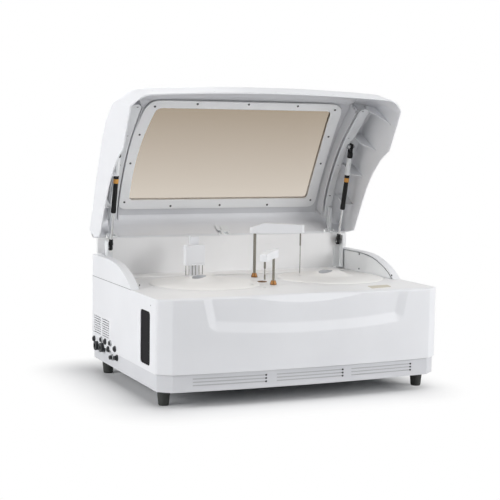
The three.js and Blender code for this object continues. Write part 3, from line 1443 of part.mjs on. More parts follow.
function buildArms() {
  const curve = armCurve();
  const x0 = armInX;
  const x1 = armInX + armWidth;
  const lifted = (rise) => curve.map((p) => point(p.x, p.y + rise));
  const strip = (low, high) => [...lifted(low), ...lifted(high).reverse()];
  const face = sideSlab(strip(0, armWall), x0, x1);
  const web = sideSlab(strip(0, armDepth), x1 - armWall, x1);
  const rear = curve[curve.length - 1];
  const tongueX0 = sideHingeX - knuckleWidth / 2;
  const tongueX1 = sideHingeX + knuckleWidth / 2;
  const tongueOutline = [
    point(armTongueRearY - 2 * armDepth, rear.y + armWall), point(hingeY - knuckleRadius, hingeZ), point(hingeY, hingeZ + knuckleRadius),
    point(rear.x, rear.y + armDepth), point(rear.x - 2 * armDepth, rear.y + armDepth),
  ];
  const tongue = sideSlab(tongueOutline, tongueX0, x1);
  const knuckle = crosswise(knuckleRadius, tongueX0, tongueX1, hingeY, hingeZ);
  const bore = crosswise(hingePinRadius + pinClearance, tongueX0 - cutOverrun, tongueX1 + cutOverrun, hingeY, hingeZ);
  const top = shutPoint(strutTopOpenY, strutTopOpenZ);
  const bossRadius = 2 * armStudHead;
  const boss = crosswise(bossRadius, x1 - armWall, x1, top.x, top.y);
  const webZ = heightAt(curve, top.x) + armDepth / 2;
  const lug = block(x1 - armWall, x1, top.x - bossRadius, top.x + bossRadius, Math.min(top.y, webZ),
    Math.max(top.y, webZ));
  const stud = crosswise(armStudRadius, x1 - armWall, x1 + armStudReach, top.x, top.y, 14);
  const arm = join(cut(join(face, web, tongue, knuckle), bore), boss, lug, stud);
  add('lid_arm_right', arm, paintedSteel, shut);
  add('lid_arm_left', mirrored(arm), paintedSteel, shut);
  const leafTop = hingeZ + knuckleRadius + lidSkirtLow * 3;
  const leafRear = rearY + lidRearOut - lidWall - leafBack;
  const leaf = block(-lugWidth * 3, lugWidth * 3, leafRear - armWall, leafRear, hingeZ + knuckleRadius, leafTop);
  const leafTongue = block(-knuckleWidth / 2, knuckleWidth / 2, leafRear - armWall - leafBack, leafRear, hingeZ, leafTop - lidSkirtLow);
  const middle = crosswise(knuckleRadius, -knuckleWidth / 2, knuckleWidth / 2, hingeY, hingeZ);
  const middleBore = crosswise(hingePinRadius + pinClearance, -knuckleWidth, knuckleWidth, hingeY, hingeZ);
  add('hinge_leaf', cut(join(leaf, leafTongue, middle), middleBore), paintedSteel, shut);
}

// A point of the open lid, brought back to where it lies with the lid shut
function shutPoint(y, z) {
  return point(y, z).rotateAround(point(hingeY, hingeZ), openAngle);
}

function buildHingeRail() {
  const parts = [];
  const z0 = wallTopZ + fitGap;
  for (const x of [-sideHingeX, 0, sideHingeX]) {
    const inner = knuckleWidth / 2 + fitGap;
    parts.push(block(x - inner - lugWidth, x + inner + lugWidth, wallFrontY, wallFrontY + lugPlateDeep, z0, z0 + lugPlate));
    for (const side of [-1, 1]) {
      const [x0, x1] = side < 0 ? [x - inner - lugWidth, x - inner] : [x + inner, x + inner + lugWidth];
      const outline = [
        point(wallFrontY, z0), point(wallFrontY + lugPlateDeep, z0), point(hingeY, hingeZ - knuckleRadius),
        point(hingeY + knuckleRadius * 0.7, hingeZ), point(hingeY, hingeZ + knuckleRadius),
        point(wallFrontY, z0 + lugPlate),
      ];
      parts.push(sideSlab(outline, x0, x1));
    }
    parts.push(crosswise(hingePinRadius, x - inner - lugWidth, x + inner + lugWidth, hingeY, hingeZ, 16));
  }
  const rail = block(-sideHingeX, sideHingeX, wallFrontY, wallFrontY + lugPlateDeep, z0, z0 + lugPlate);
  add('hinge_rail', join(rail, ...parts), paintedSteel);
}

// Gas struts, drawn upright from their lower pivot and then leaned

function buildStruts() {
  const run = point(strutTopOpenY - strutLowY, strutTopOpenZ - strutLowZ);
  const length = run.length();
  const lean = Math.atan2(-run.x, run.y);
  const tubeLow = length - strutTubeLength;
  const hookFoot = length - strutHookLength;
  for (const [side, label] of [[1, 'right'], [-1, 'left']]) {
    const strut = new THREE.Group();
    strut.position.set(side * strutX, strutLowY, strutLowZ);
    strut.rotation.x = lean;
    body.add(strut);
    const tube = turned([
      [strutBoreRadius, tubeLow], [strutTubeRadius, tubeLow], [strutTubeRadius, hookFoot], [0, hookFoot],
      [0, hookFoot - strutTubeRadius], [strutBoreRadius, hookFoot - strutTubeRadius], [strutBoreRadius, tubeLow],
    ], 0, 0, 16);
    const hookHalf = strutHookWidth / 2;
    const hookTop = length + hookHalf;
    const hookRoot = hookFoot - 0.7 * strutTubeRadius;
    const hookOutline = eased([
      point(-hookHalf, hookFoot + strutHookWidth / 3), point(-0.7 * strutTubeRadius, hookRoot),
      point(0.7 * strutTubeRadius, hookRoot), point(hookHalf + strutSlotTravel / 2, hookFoot + strutHookWidth / 3),
      point(hookHalf + strutSlotTravel / 2, hookTop), point(-hookHalf, hookTop),
    ], strutHookWidth / 8, 3);
    const hook = sideSlab(hookOutline, -strutHookThick / 2, strutHookThick / 2);
    const slot = sideSlab([
      point(-strutSlot / 2, length - strutSlot / 2), point(strutHookWidth * 2, length - strutSlot / 2),
      point(strutHookWidth * 2, length + strutSlot / 2), point(-strutSlot / 2, length + strutSlot / 2),
    ], -strutHookThick, strutHookThick);
    add(`strut_tube_${label}`, cut(join(tube, hook), slot), strutBlack, strut);
    const rod = turned([
      [0, 0], [stemRadius, 0], [stemRadius, 3 * socketRadius], [strutRodRadius, 3 * socketRadius],
      [strutRodRadius, tubeLow + strutRodInside], [0, tubeLow + strutRodInside],
    ], 0, 0, 16);
    const socket = crosswise(socketRadius, -socketThick / 2, socketThick / 2, 0, 0, 20);
    const bore = crosswise(socketBore, -socketRadius * 2, socketRadius * 2, 0, 0, 14);
    add(`strut_rod_${label}`, cut(join(rod, socket), bore), steel, strut);
  }
}

function buildBrackets() {
  const x0 = strutX + socketThick + bracketWall;
  const rearFace = wallFrontY - fitGap;
  const z0 = deckHeight + 2 * fitGap + wallLedgeHeight;
  const ear = block(x0, x0 + bracketWall, bracketFrontY, rearFace, z0, wallTopZ - 2 * bracketWall);
  const back = block(x0 - bracketFlange, x0 + bracketWall / 2, rearFace - bracketWall, rearFace, z0,
    strutLowZ - 2 * socketRadius);
  const foot = block(x0 - bracketFlange, x0 + bracketWall / 2, bracketFrontY, rearFace, z0, z0 + bracketWall);
  const stud = crosswise(bracketStudRadius, strutX - socketThick / 2 - bracketWall, x0 + bracketWall / 2,
    strutLowY, strutLowZ, 14);
  const bracket = join(ear, back, foot, stud);
  add('strut_bracket_right', bracket, paintedSteel);
  add('strut_bracket_left', mirrored(bracket), paintedSteel);
}

buildBase();
buildFrame();
buildPorts();
buildFrontPanel();
buildSidePanels();
buildRearPanel();
buildDeck();
buildWall();
buildWings();
buildReaction();
buildReagent();
buildCovers();
buildProbe();
buildMixer();
buildWash();
buildInside();
buildLidShell();
buildWindow();
buildLiner();
buildArms();
buildHingeRail();
buildStruts();
buildBrackets();

// The whole object is centred over its origin, which lies on the bench under the middle of its box
object.updateMatrixWorld(true);
const extent = new THREE.Box3().setFromObject(object, true);
body.position.set(-(extent.min.x + extent.max.x) / 2, -(extent.min.y + extent.max.y) / 2, 0);

export default object;
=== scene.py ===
# %% [markdown]
# # A benchtop chemistry analyzer, dressed for its portrait
#
# The imported model gives the machine's bones: sixty solids with joints. This notebook gives it its
# skin. Each cell makes one piece or one finish. Everything is in metres. X runs to the operator's
# right, Y to the rear and Z up, and the bench top is at Z = 0. The visual pieces stay inside the
# box that the solids fill, so the box is kept here.

# %% Load the frame
import json
import math

import bmesh
import bpy
import numpy as np
from mathutils import Matrix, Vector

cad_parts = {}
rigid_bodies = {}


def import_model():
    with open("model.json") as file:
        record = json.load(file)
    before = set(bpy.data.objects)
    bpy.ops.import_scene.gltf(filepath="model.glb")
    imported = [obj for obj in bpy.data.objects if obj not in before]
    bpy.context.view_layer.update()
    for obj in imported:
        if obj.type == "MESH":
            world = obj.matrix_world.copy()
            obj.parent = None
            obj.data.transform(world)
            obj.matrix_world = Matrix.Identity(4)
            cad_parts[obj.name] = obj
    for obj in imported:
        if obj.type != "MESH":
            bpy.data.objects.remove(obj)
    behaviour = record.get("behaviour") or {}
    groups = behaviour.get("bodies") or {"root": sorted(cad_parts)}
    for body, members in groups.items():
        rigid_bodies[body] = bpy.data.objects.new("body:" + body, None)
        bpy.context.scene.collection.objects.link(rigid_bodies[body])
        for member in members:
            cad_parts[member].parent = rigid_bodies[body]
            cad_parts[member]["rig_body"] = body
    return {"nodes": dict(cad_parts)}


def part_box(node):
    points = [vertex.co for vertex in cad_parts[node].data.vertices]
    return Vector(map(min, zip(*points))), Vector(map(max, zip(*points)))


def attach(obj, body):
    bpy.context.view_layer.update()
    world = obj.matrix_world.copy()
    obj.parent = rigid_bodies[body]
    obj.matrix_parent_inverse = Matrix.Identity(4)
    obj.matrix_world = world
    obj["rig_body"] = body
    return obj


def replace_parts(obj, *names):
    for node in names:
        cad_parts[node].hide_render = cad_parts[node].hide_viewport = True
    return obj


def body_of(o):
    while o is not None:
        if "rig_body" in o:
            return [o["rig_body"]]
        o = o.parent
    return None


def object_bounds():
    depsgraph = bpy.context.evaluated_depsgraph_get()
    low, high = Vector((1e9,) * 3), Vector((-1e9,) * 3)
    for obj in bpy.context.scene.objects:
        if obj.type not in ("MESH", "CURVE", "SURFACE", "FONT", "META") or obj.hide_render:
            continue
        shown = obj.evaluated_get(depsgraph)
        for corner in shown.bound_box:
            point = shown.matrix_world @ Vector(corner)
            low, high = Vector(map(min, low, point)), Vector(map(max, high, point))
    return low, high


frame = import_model()
cad_box = [list(corner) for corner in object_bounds()]
print("solids loaded:", len(frame["nodes"]))

# %% [markdown]
# ## Where the drawing's origin lies
#
# The shapes below were worked out in millimetres about the middle of the body, with X = 0 half way
# between its sides and Y = 0 half way from front to back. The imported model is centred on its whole
# box instead, which the fluid ports and the raised lid pull off the middle. Two solids tell by how
# much: the deck plate for X and the rear panel for Y.

# %% Find the shift between the drawing and the model
MM = 0.001
HALF_WIDTH, HALF_DEPTH = 440.0, 311.75  # of the body
SEAM, DECK = 93, 298.8  # heights of the skirt's upper edge and of the deck
deck_low, deck_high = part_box("deck_plate")
rear_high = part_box("rear_panel")[1]
SHIFT = np.array([(deck_low.x + deck_high.x) / 2, rear_high.y - HALF_DEPTH * MM, 0.0])
print("shift in mm:", np.round(SHIFT / MM, 2))


def to_model(points):
    """Drawing millimetres to model metres: each point times 0.001, plus the shift."""
    return np.asarray(points, float) * MM + SHIFT


# %% [markdown]
# ## The camera
#
# The machine was photographed a little from its left and from just above the deck. The camera's
# place and its focal length come from fitting the straight edges of the body. A long lens keeps
# the edges almost parallel, so the sensor stays at 36 mm and the lens at 93 mm. The small shift
# puts the lens axis where the fit found it.

# %% Camera
CAMERA_PLACE = (-1618.2, -3513.1, 771.3)
AZIMUTH, ELEVATION, ROLL = (math.radians(a) for a in (-24.13, 5.63, 0.84))


def unit(vectors):
    """The vectors, each scaled to length 1."""
    return vectors / np.maximum(np.linalg.norm(vectors, axis=-1, keepdims=True), 1e-9)


def camera_axes(azimuth, elevation, roll):
    """Right, up and back axes of a camera that looks from that azimuth and elevation."""
    flat = math.cos(elevation)
    back = np.array([math.sin(azimuth) * flat, -math.cos(azimuth) * flat, math.sin(elevation)])
    right = unit(np.cross(-back, [0, 0, 1]))
    up = np.cross(right, -back)
    tilted_right = right * math.cos(roll) + up * math.sin(roll)
    tilted_up = up * math.cos(roll) - right * math.sin(roll)
    return tilted_right, tilted_up, back


def link(thing):
    """Puts an object into the scene and gives it back."""
    bpy.context.scene.collection.objects.link(thing)
    return thing


def aim(thing, axes, place):
    """Stands a camera or a lamp at a place, with its right, up and back axes as the columns."""
    turn = np.eye(4)
    turn[:3, :3], turn[:3, 3] = np.array(axes).T, place
    thing.matrix_world = Matrix(turn.tolist())


camera_data = bpy.data.cameras.new("portrait_camera")
camera_data.sensor_width, camera_data.lens, camera_data.clip_end = 36, 93.13, 30
camera_data.shift_x, camera_data.shift_y = -0.00194, 0.00362
camera = link(bpy.data.objects.new("portrait_camera", camera_data))
aim(camera, camera_axes(AZIMUTH, ELEVATION, ROLL), to_model(CAMERA_PLACE))
bpy.context.scene.camera = camera
print("camera at", np.round(to_model(CAMERA_PLACE), 3))

# %% [markdown]
# ## Light and floor
#
# A studio tent: one large soft lamp overhead, others in front, behind and on both sides, and a
# white world that fills the shadows. The floor is a plain pale sheet that turns up behind the
# machine, so that no horizon shows. It is white to the camera and keeps the soft shadow under the
# skirt.

# %% Floor and backdrop
def mesh_from(name, points, faces, smooth=True):
    """A mesh object from an array of points in metres and a list of faces."""
    mesh = bpy.data.meshes.new(name)
    points = np.asarray(points, float).reshape(-1, 3).tolist()
    mesh.from_pydata(points, [], [list(map(int, face)) for face in faces])
    mesh.validate()
    mesh.polygons.foreach_set("use_smooth", np.full(len(mesh.polygons), smooth))
    mesh.update()
    return link(bpy.data.objects.new(name, mesh))


def grid_faces(rows, columns, wrap_rows=False, wrap_columns=False):
    """Quads between neighbours of a rows by columns grid of points, four indices each."""
    r = np.arange(rows if wrap_rows else rows - 1)
    c = np.arange(columns if wrap_columns else columns - 1)
    r, c = np.meshgrid(r, c, indexing="ij")
    r1, c1 = (r + 1) % rows, (c + 1) % columns
    quads = [r * columns + c, r * columns + c1, r1 * columns + c1, r1 * columns + c]
    return np.stack(quads, -1).reshape(-1, 4)


def backdrop_points(half_width=7.0, front=-6.0, rear=5.0, bend=2.0, height=6.0, count=24):
    """Flat in Y, then a quarter circle of radius bend, then upright in Z. Drawn out along X."""
    angle = np.linspace(0, math.pi / 2, count)
    y = np.concatenate([[front], rear + bend * np.sin(angle), [rear + bend]])
    z = np.concatenate([[0], bend - bend * np.cos(angle), [height]])
    x = np.array([-half_width, half_width])
    return np.stack([np.repeat(x, len(y)), np.tile(y, 2), np.tile(z, 2)], -1), len(y)


points, count = backdrop_points()
floor = mesh_from("floor", points, grid_faces(2, count)[:, ::-1])
print("floor:", len(floor.data.polygons), "faces")

# %% Nodes of a material
WHITE = (1, 1, 1, 1)


def new_material(name):
    """An empty node material: the material, its tree and its output node."""
    material = bpy.data.materials.new(name)
    material.use_nodes = True
    material.node_tree.nodes.clear()
    return material, material.node_tree, material.node_tree.nodes.new("ShaderNodeOutputMaterial")


def add_node(tree, kind, sockets, **settings):
    """A shader node with its settings. Each socket gets a value, or a link from an output."""
    node = tree.nodes.new("ShaderNode" + kind)
    for key, value in settings.items():
        setattr(node, key, value)
    for key, value in sockets.items():
        if isinstance(value, bpy.types.NodeSocket):
            tree.links.new(value, node.inputs[key])
        else:
            node.inputs[key].default_value = value
    return node


def seen_share(tree):
    """1 for rays of the camera, of a reflection or through the window, 0 for light that bounces."""
    path = add_node(tree, "LightPath", {}).outputs
    share = path["Is Camera Ray"]
    for kind in ("Is Glossy Ray", "Is Transmission Ray"):
        share = add_node(tree, "Math", {0: share, 1: path[kind]}, operation="MAXIMUM").outputs[0]
    return share


def mixed(tree, share, first, second, output):
    """Sends to the output a mix of two shaders, with share 1 where only the second is wanted."""
    shaders = {"Fac": share, 1: first.outputs[0], 2: second.outputs[0]}
    tree.links.new(add_node(tree, "MixShader", shaders).outputs[0], output.inputs["Surface"])


# %% Floor material: its shadow fades to white over FADE metres beyond a box of BOX_HALF
BOX_SHIFT, BOX_HALF, FADE = (0.05, 0.0, 0.0), (0.36, 0.29, 9.0), 0.24
BEYOND_BOX = (("ADD", BOX_SHIFT), ("ABSOLUTE", None), ("SUBTRACT", BOX_HALF),
              ("MAXIMUM", (0.0, 0.0, 0.0)))
floor_material, tree, output = new_material("pale_floor")
paper = add_node(tree, "BsdfDiffuse", {"Color": (0.86, 0.86, 0.865, 1)})
beyond = add_node(tree, "TexCoord", {}).outputs["Object"]
for operation, amount in BEYOND_BOX:
    sockets = {0: beyond} if amount is None else {0: beyond, 1: amount}
    beyond = add_node(tree, "VectorMath", sockets, operation=operation).outputs["Vector"]
far = add_node(tree, "VectorMath", {0: beyond}, operation="LENGTH").outputs["Value"]
fade = add_node(tree, "MapRange", {"Value": far, "From Min": 0.0, "From Max": FADE},
                interpolation_type="SMOOTHSTEP")
share = add_node(tree, "Math", {0: fade.outputs["Result"], 1: seen_share(tree)},
                 operation="MULTIPLY")
white = add_node(tree, "Emission", {"Color": WHITE, "Strength": 1})
mixed(tree, share.outputs[0], paper, white, output)
floor.data.materials.append(floor_material)
print("floor material:", len(tree.nodes), "nodes")

# %% World: a pale tent for light, plain white where it is seen
world = bpy.data.worlds.new("studio_tent")
bpy.context.scene.world = world
world.use_nodes = True
tree = world.node_tree
tree.nodes.clear()
tent = add_node(tree, "Background", {"Color": (0.95, 0.97, 1, 1), "Strength": 0.10})
white = add_node(tree, "Background", {"Color": WHITE, "Strength": 1})
mixed(tree, seen_share(tree), tent, white, tree.nodes.new("ShaderNodeOutputWorld"))
print("world:", world.name)

# %% Lamps
LAMPS = {  # name: place and target in metres, width and height in metres, watts
    "lamp_overhead": ((0.1, -0.7, 4.4), (0, 0, 0.3), (3.8, 3.2), 72),
    "lamp_front": ((1.2, -4.2, 1.4), (0.1, 0, 0.3), (2.4, 2.0), 11),
    "lamp_left": ((-3.7, -0.4, 1.6), (0, 0, 0.4), (2.0, 2.0), 84),
    "lamp_right": ((2.9, -2.4, 1.5), (0, 0, 0.4), (1.8, 1.8), 73),
    "lamp_rear": ((0.4, 4.0, 2.2), (0, 0, 0.4), (2.4, 1.8), 30),
}
for name, (place, target, size, watts) in LAMPS.items():
    data = bpy.data.lights.new(name, "AREA")
    data.shape, data.size, data.size_y = "RECTANGLE", *size
    data.energy = watts
    back = unit(np.array(place, float) - np.array(target, float))
    side = unit(np.cross([0, 0, 1], back))
    aim(link(bpy.data.objects.new(name, data)), (side, np.cross(back, side), back), place)
bpy.context.scene.view_settings.view_transform = "Standard"
print("lamps:", len(LAMPS))

# %% [markdown]
# ## Ways of making a shape
#
# Nearly every piece of this machine is one of four things: a plate with softened edges, a turned
# part, a round bar bent along a path, or a sheet that bends in two directions. Each gets one
# helper, worked out as whole arrays. A moulded edge is never sharp, so plates get a quarter-round
# along their rims. Weighted normals then keep the large faces flat to the eye while the rims stay
# round.

# %% Outlines
def corner_arcs(corners, radius, steps=5):
    """Polygon whose corners are quadratic curves that start and end radius away from the corner."""
    corners = np.asarray(corners, float)
    radius = np.broadcast_to(radius, len(corners))[:, None]
    start = corners + unit(np.roll(corners, 1, 0) - corners) * radius
    end = corners + unit(np.roll(corners, -1, 0) - corners) * radius
    t = np.linspace(0, 1, steps + 1)[None, :, None]
    arcs = (1 - t) ** 2 * start[:, None] + 2 * t * (1 - t) * corners[:, None] + t**2 * end[:, None]
    return arcs.reshape(-1, 2)


def quarter_turn(vectors):
    """Flat vectors turned left by 90 degrees: (a, b) becomes (-b, a)."""
    return np.stack([-vectors[..., 1], vectors[..., 0]], -1)


def moved_in(outline, distance):
    """Anticlockwise outline moved inwards: each point along its mitre, the mean edge normal."""
    outline = np.asarray(outline, float)
    ahead = unit(np.roll(outline, -1, 0) - outline)
    behind = np.roll(ahead, 1, 0)
    normal = unit(quarter_turn(ahead + behind))
    spread = np.abs((normal * quarter_turn(behind)).sum(1, keepdims=True))
    return outline + normal * distance / np.maximum(spread, 0.35)


def turned_round(outline):
    """The outline, anticlockwise: reversed where its shoelace area is negative."""
    outline = np.asarray(outline, float)
    x, y = outline.T
    return outline if (x * np.roll(y, -1) - y * np.roll(x, -1)).sum() > 0 else outline[::-1]


# %% Smooth curves
def blend_four(p0, p1, p2, p3, f):
    """Cubic from p1 to p2 at share f. Its slopes at them are half of p2 - p0 and of p3 - p1."""
    bend = (2 * p0 - 5 * p1 + 4 * p2 - p3) * f**2
    return 0.5 * (2 * p1 + (p2 - p0) * f + bend + (3 * p1 - p0 - 3 * p2 + p3) * f**3)


def curve_through(points, count):
    """Those cubics through all the points, sampled evenly in the points' own spacing."""
    points = np.asarray(points, float)
    last = len(points) - 1
    t = np.linspace(0, last, count)
    i = np.minimum(t.astype(int), last - 1)
    four = [points[np.clip(i + step, 0, last)] for step in (-1, 0, 1, 2)]
    return blend_four(*four, (t - i)[:, None])


# %% From points to a piece
AXES = {"x": (1, 2, 0), "y": (0, 2, 1), "z": (0, 1, 2)}


def stand(flat, height, axis):
    """Points from an outline's two coordinates and a third along axis: YZ for x, XZ for y."""
    flat = np.asarray(flat, float)
    points = np.empty((len(flat), 3))
    a, b, c = AXES[axis]
    points[:, a], points[:, b], points[:, c] = flat[:, 0], flat[:, 1], height
    return points


def turn_outwards(piece):
    """Recalculates face directions, so that every shell of the mesh faces out."""
    shape = bmesh.new()
    shape.from_mesh(piece.data)
    bmesh.ops.recalc_face_normals(shape, faces=shape.faces)
    shape.to_mesh(piece.data)
    shape.free()


def even_normals(piece):
    """Lets the large faces rule the shading of the small ones beside them."""
    piece.modifiers.new("even_normals", "WEIGHTED_NORMAL").keep_sharp = True


def finish_piece(name, points, faces, look, body, even=True):
    """Makes the mesh, points its faces outwards, gives it its finish and sets it on its body."""
    piece = mesh_from(name, points, faces)
    piece.data.materials.append(finish[look])
    turn_outwards(piece)
    if even:
        even_normals(piece)
    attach(piece, body)
    return piece


def capped_faces(rows, sides):
    """Faces of a tube of rings: quads between neighbours, and one flat face at either end."""
    ends = [list(range(sides))[::-1], list(range((rows - 1) * sides, rows * sides))]
    return grid_faces(rows, sides, wrap_columns=True).tolist() + ends


# %% Plates
def soft_plate(name, outline, low, high, axis, look, body, edge, steps=2, place=to_model):
    """An outline raised from low to high. Its rims are quarter circles: inset edge (1 - sin a)."""
    outline = turned_round(outline)
    angle = np.linspace(0, math.pi / 2, steps + 1)
    inset, lift = edge * (1 - np.sin(angle)), edge * (1 - np.cos(angle))
    insets = np.concatenate([inset, inset[::-1]])
    heights = np.concatenate([low + lift, high - lift[::-1]])
    rings = [stand(moved_in(outline, far), z, axis) for far, z in zip(insets, heights)]
    faces = capped_faces(len(rings), len(outline))
    return finish_piece(name, place(np.concatenate(rings)), faces, look, body)


# %% Turned parts
def turned_points(profile, sides):
    """x = r cos a, y = r sin a, z = h for each (r, h) of the profile and each of sides angles a."""
    angle = np.arange(sides) * 2 * math.pi / sides
    r, h = np.asarray(profile, float).T
    x, y = r[:, None] * np.cos(angle), r[:, None] * np.sin(angle)
    return np.stack([x, y, np.broadcast_to(h[:, None], x.shape)], -1).reshape(-1, 3)


def turned_piece(name, profile, centre, look, body, sides=28, place=to_model):
    """A profile of (radius, distance) turned about a line along x through centre.

    A profile that starts and ends at radius 0 gets two poles, and any other is a closed ring."""
    profile = np.asarray(profile, float)
    if profile[0, 0] > 0:
        points = turned_points(profile, sides)
        faces = grid_faces(len(profile), sides, wrap_rows=True, wrap_columns=True)
    else:
        points = np.concatenate([turned_points(profile[1:-1], sides),
                                 turned_points(profile[[0, -1]], 1)])
        last = len(points) - 2
        faces = grid_faces(len(profile) - 2, sides, wrap_columns=True).tolist()
        for i in range(sides):
            j = (i + 1) % sides
            faces += [[last, j, i], [last + 1, last - sides + i, last - sides + j]]
    points = points[:, (2, 0, 1)] + np.asarray(centre, float)
    return finish_piece(name, place(points), faces, look, body)


# %% Bars
def round_bar(name, path, radius, look, body, sides=8):
    """Circles square to a path: c + r (cos a n + sin a b), with n level. Its ends are flat."""
    path = np.asarray(path, float)
    tangent = unit(np.gradient(path, axis=0))
    level = unit(np.cross(tangent, [0, 0, 1.0]))[:, None]
    up = np.cross(level[:, 0], tangent)[:, None]
    angle = (np.arange(sides) * 2 * math.pi / sides)[None, :, None]
    points = path[:, None] + radius * (np.cos(angle) * level + np.sin(angle) * up)
    faces = capped_faces(len(path), sides)
    return finish_piece(name, to_model(points.reshape(-1, 3)), faces, look, body)


# %% [markdown]
# ## Finishes
#
# The covers are moulded plastic with a fine spark-eroded texture: a grain of about half a
# millimetre that breaks the highlight, and a very slow drift of tone where the light has aged it.
# The sheet-metal pieces are painted with a soft orange peel. The columns are ground steel, whose
# grain runs along the axis, and the bushes turned brass, whose grain runs round it. One maker
# builds each family, and every pattern reads Object coordinates, so it stays put when a piece
# moves.

# %% Colours and patterns
def srgb(code):
    """Linear red, green, blue and 1 from a hex colour as seen on a screen."""
    c = np.array([int(code[i : i + 2], 16) for i in (0, 2, 4)]) / 255
    linear = np.where(c <= 0.04045, c / 12.92, ((c + 0.055) / 1.055) ** 2.4)
    return (*linear.tolist(), 1.0)


def object_noise(tree, scale, detail, stretch=None):
    """Noise in Object coordinates: scale in cycles per metre, stretch for each axis."""
    source = add_node(tree, "TexCoord", {}).outputs["Object"]
    if stretch is not None:
        source = add_node(tree, "Mapping", {"Vector": source, "Scale": stretch}).outputs["Vector"]
    noise = add_node(tree, "TexNoise", {"Vector": source, "Scale": scale, "Detail": detail})
    return noise.outputs["Fac"]


def ranged(tree, value, low, high, start=0.3, end=0.7):
    """A value between start and end, stretched to lie between low and high."""
    ends = {"Value": value, "From Min": start, "From Max": end, "To Min": low, "To Max": high}
    return add_node(tree, "MapRange", ends).outputs["Result"]


def two_tones(tree, share, first, second):
    """Colour between two hex tones by a share from 0 to 1."""
    tones = {"Factor": share, "A": srgb(first), "B": srgb(second)}
    return add_node(tree, "Mix", tones, data_type="RGBA").outputs["Result"]


# %% A surface, and a clear sheet
def surface_finish(name, tone, shade, rough, grain, relief, drift=4.0, metal=0.0, stretch=None,
                   coat=0.0, gloss=0.5):
    """Tone drifts to shade over 1/drift metres. Roughness and relief have a grain of 1/grain."""
    material, tree, output = new_material(name)
    fine = object_noise(tree, grain, 2.0, stretch)
    slow = ranged(tree, object_noise(tree, drift, 3.0), 0, 1)
    bump = add_node(tree, "Bump", {"Height": fine, "Strength": 0.6, "Distance": relief})
    shader = add_node(tree, "BsdfPrincipled", {
        "Base Color": two_tones(tree, slow, tone, shade), "Normal": bump.outputs["Normal"],
        "Roughness": ranged(tree, fine, rough - 0.05, rough + 0.06), "Metallic": metal,
        "Specular IOR Level": gloss, "Coat Weight": coat, "Coat Roughness": 0.12})
    tree.links.new(shader.outputs[0], output.inputs["Surface"])
    return material


def tinted_sheet(name, upper, lower, top, bottom):
    """Clear plastic whose tint runs from lower to upper between two heights in metres."""
    material, tree, output = new_material(name)
    place = add_node(tree, "TexCoord", {}).outputs["Object"]
    height = add_node(tree, "SeparateXYZ", {0: place}).outputs["Z"]
    haze = object_noise(tree, 6, 3.0)
    shader = add_node(tree, "BsdfPrincipled", {
        "Base Color": two_tones(tree, ranged(tree, height, 0, 1, bottom, top), lower, upper),
        "Roughness": ranged(tree, haze, 0.02, 0.06), "Transmission Weight": 1.0, "IOR": 1.12})
    tree.links.new(shader.outputs[0], output.inputs["Surface"])
    return material


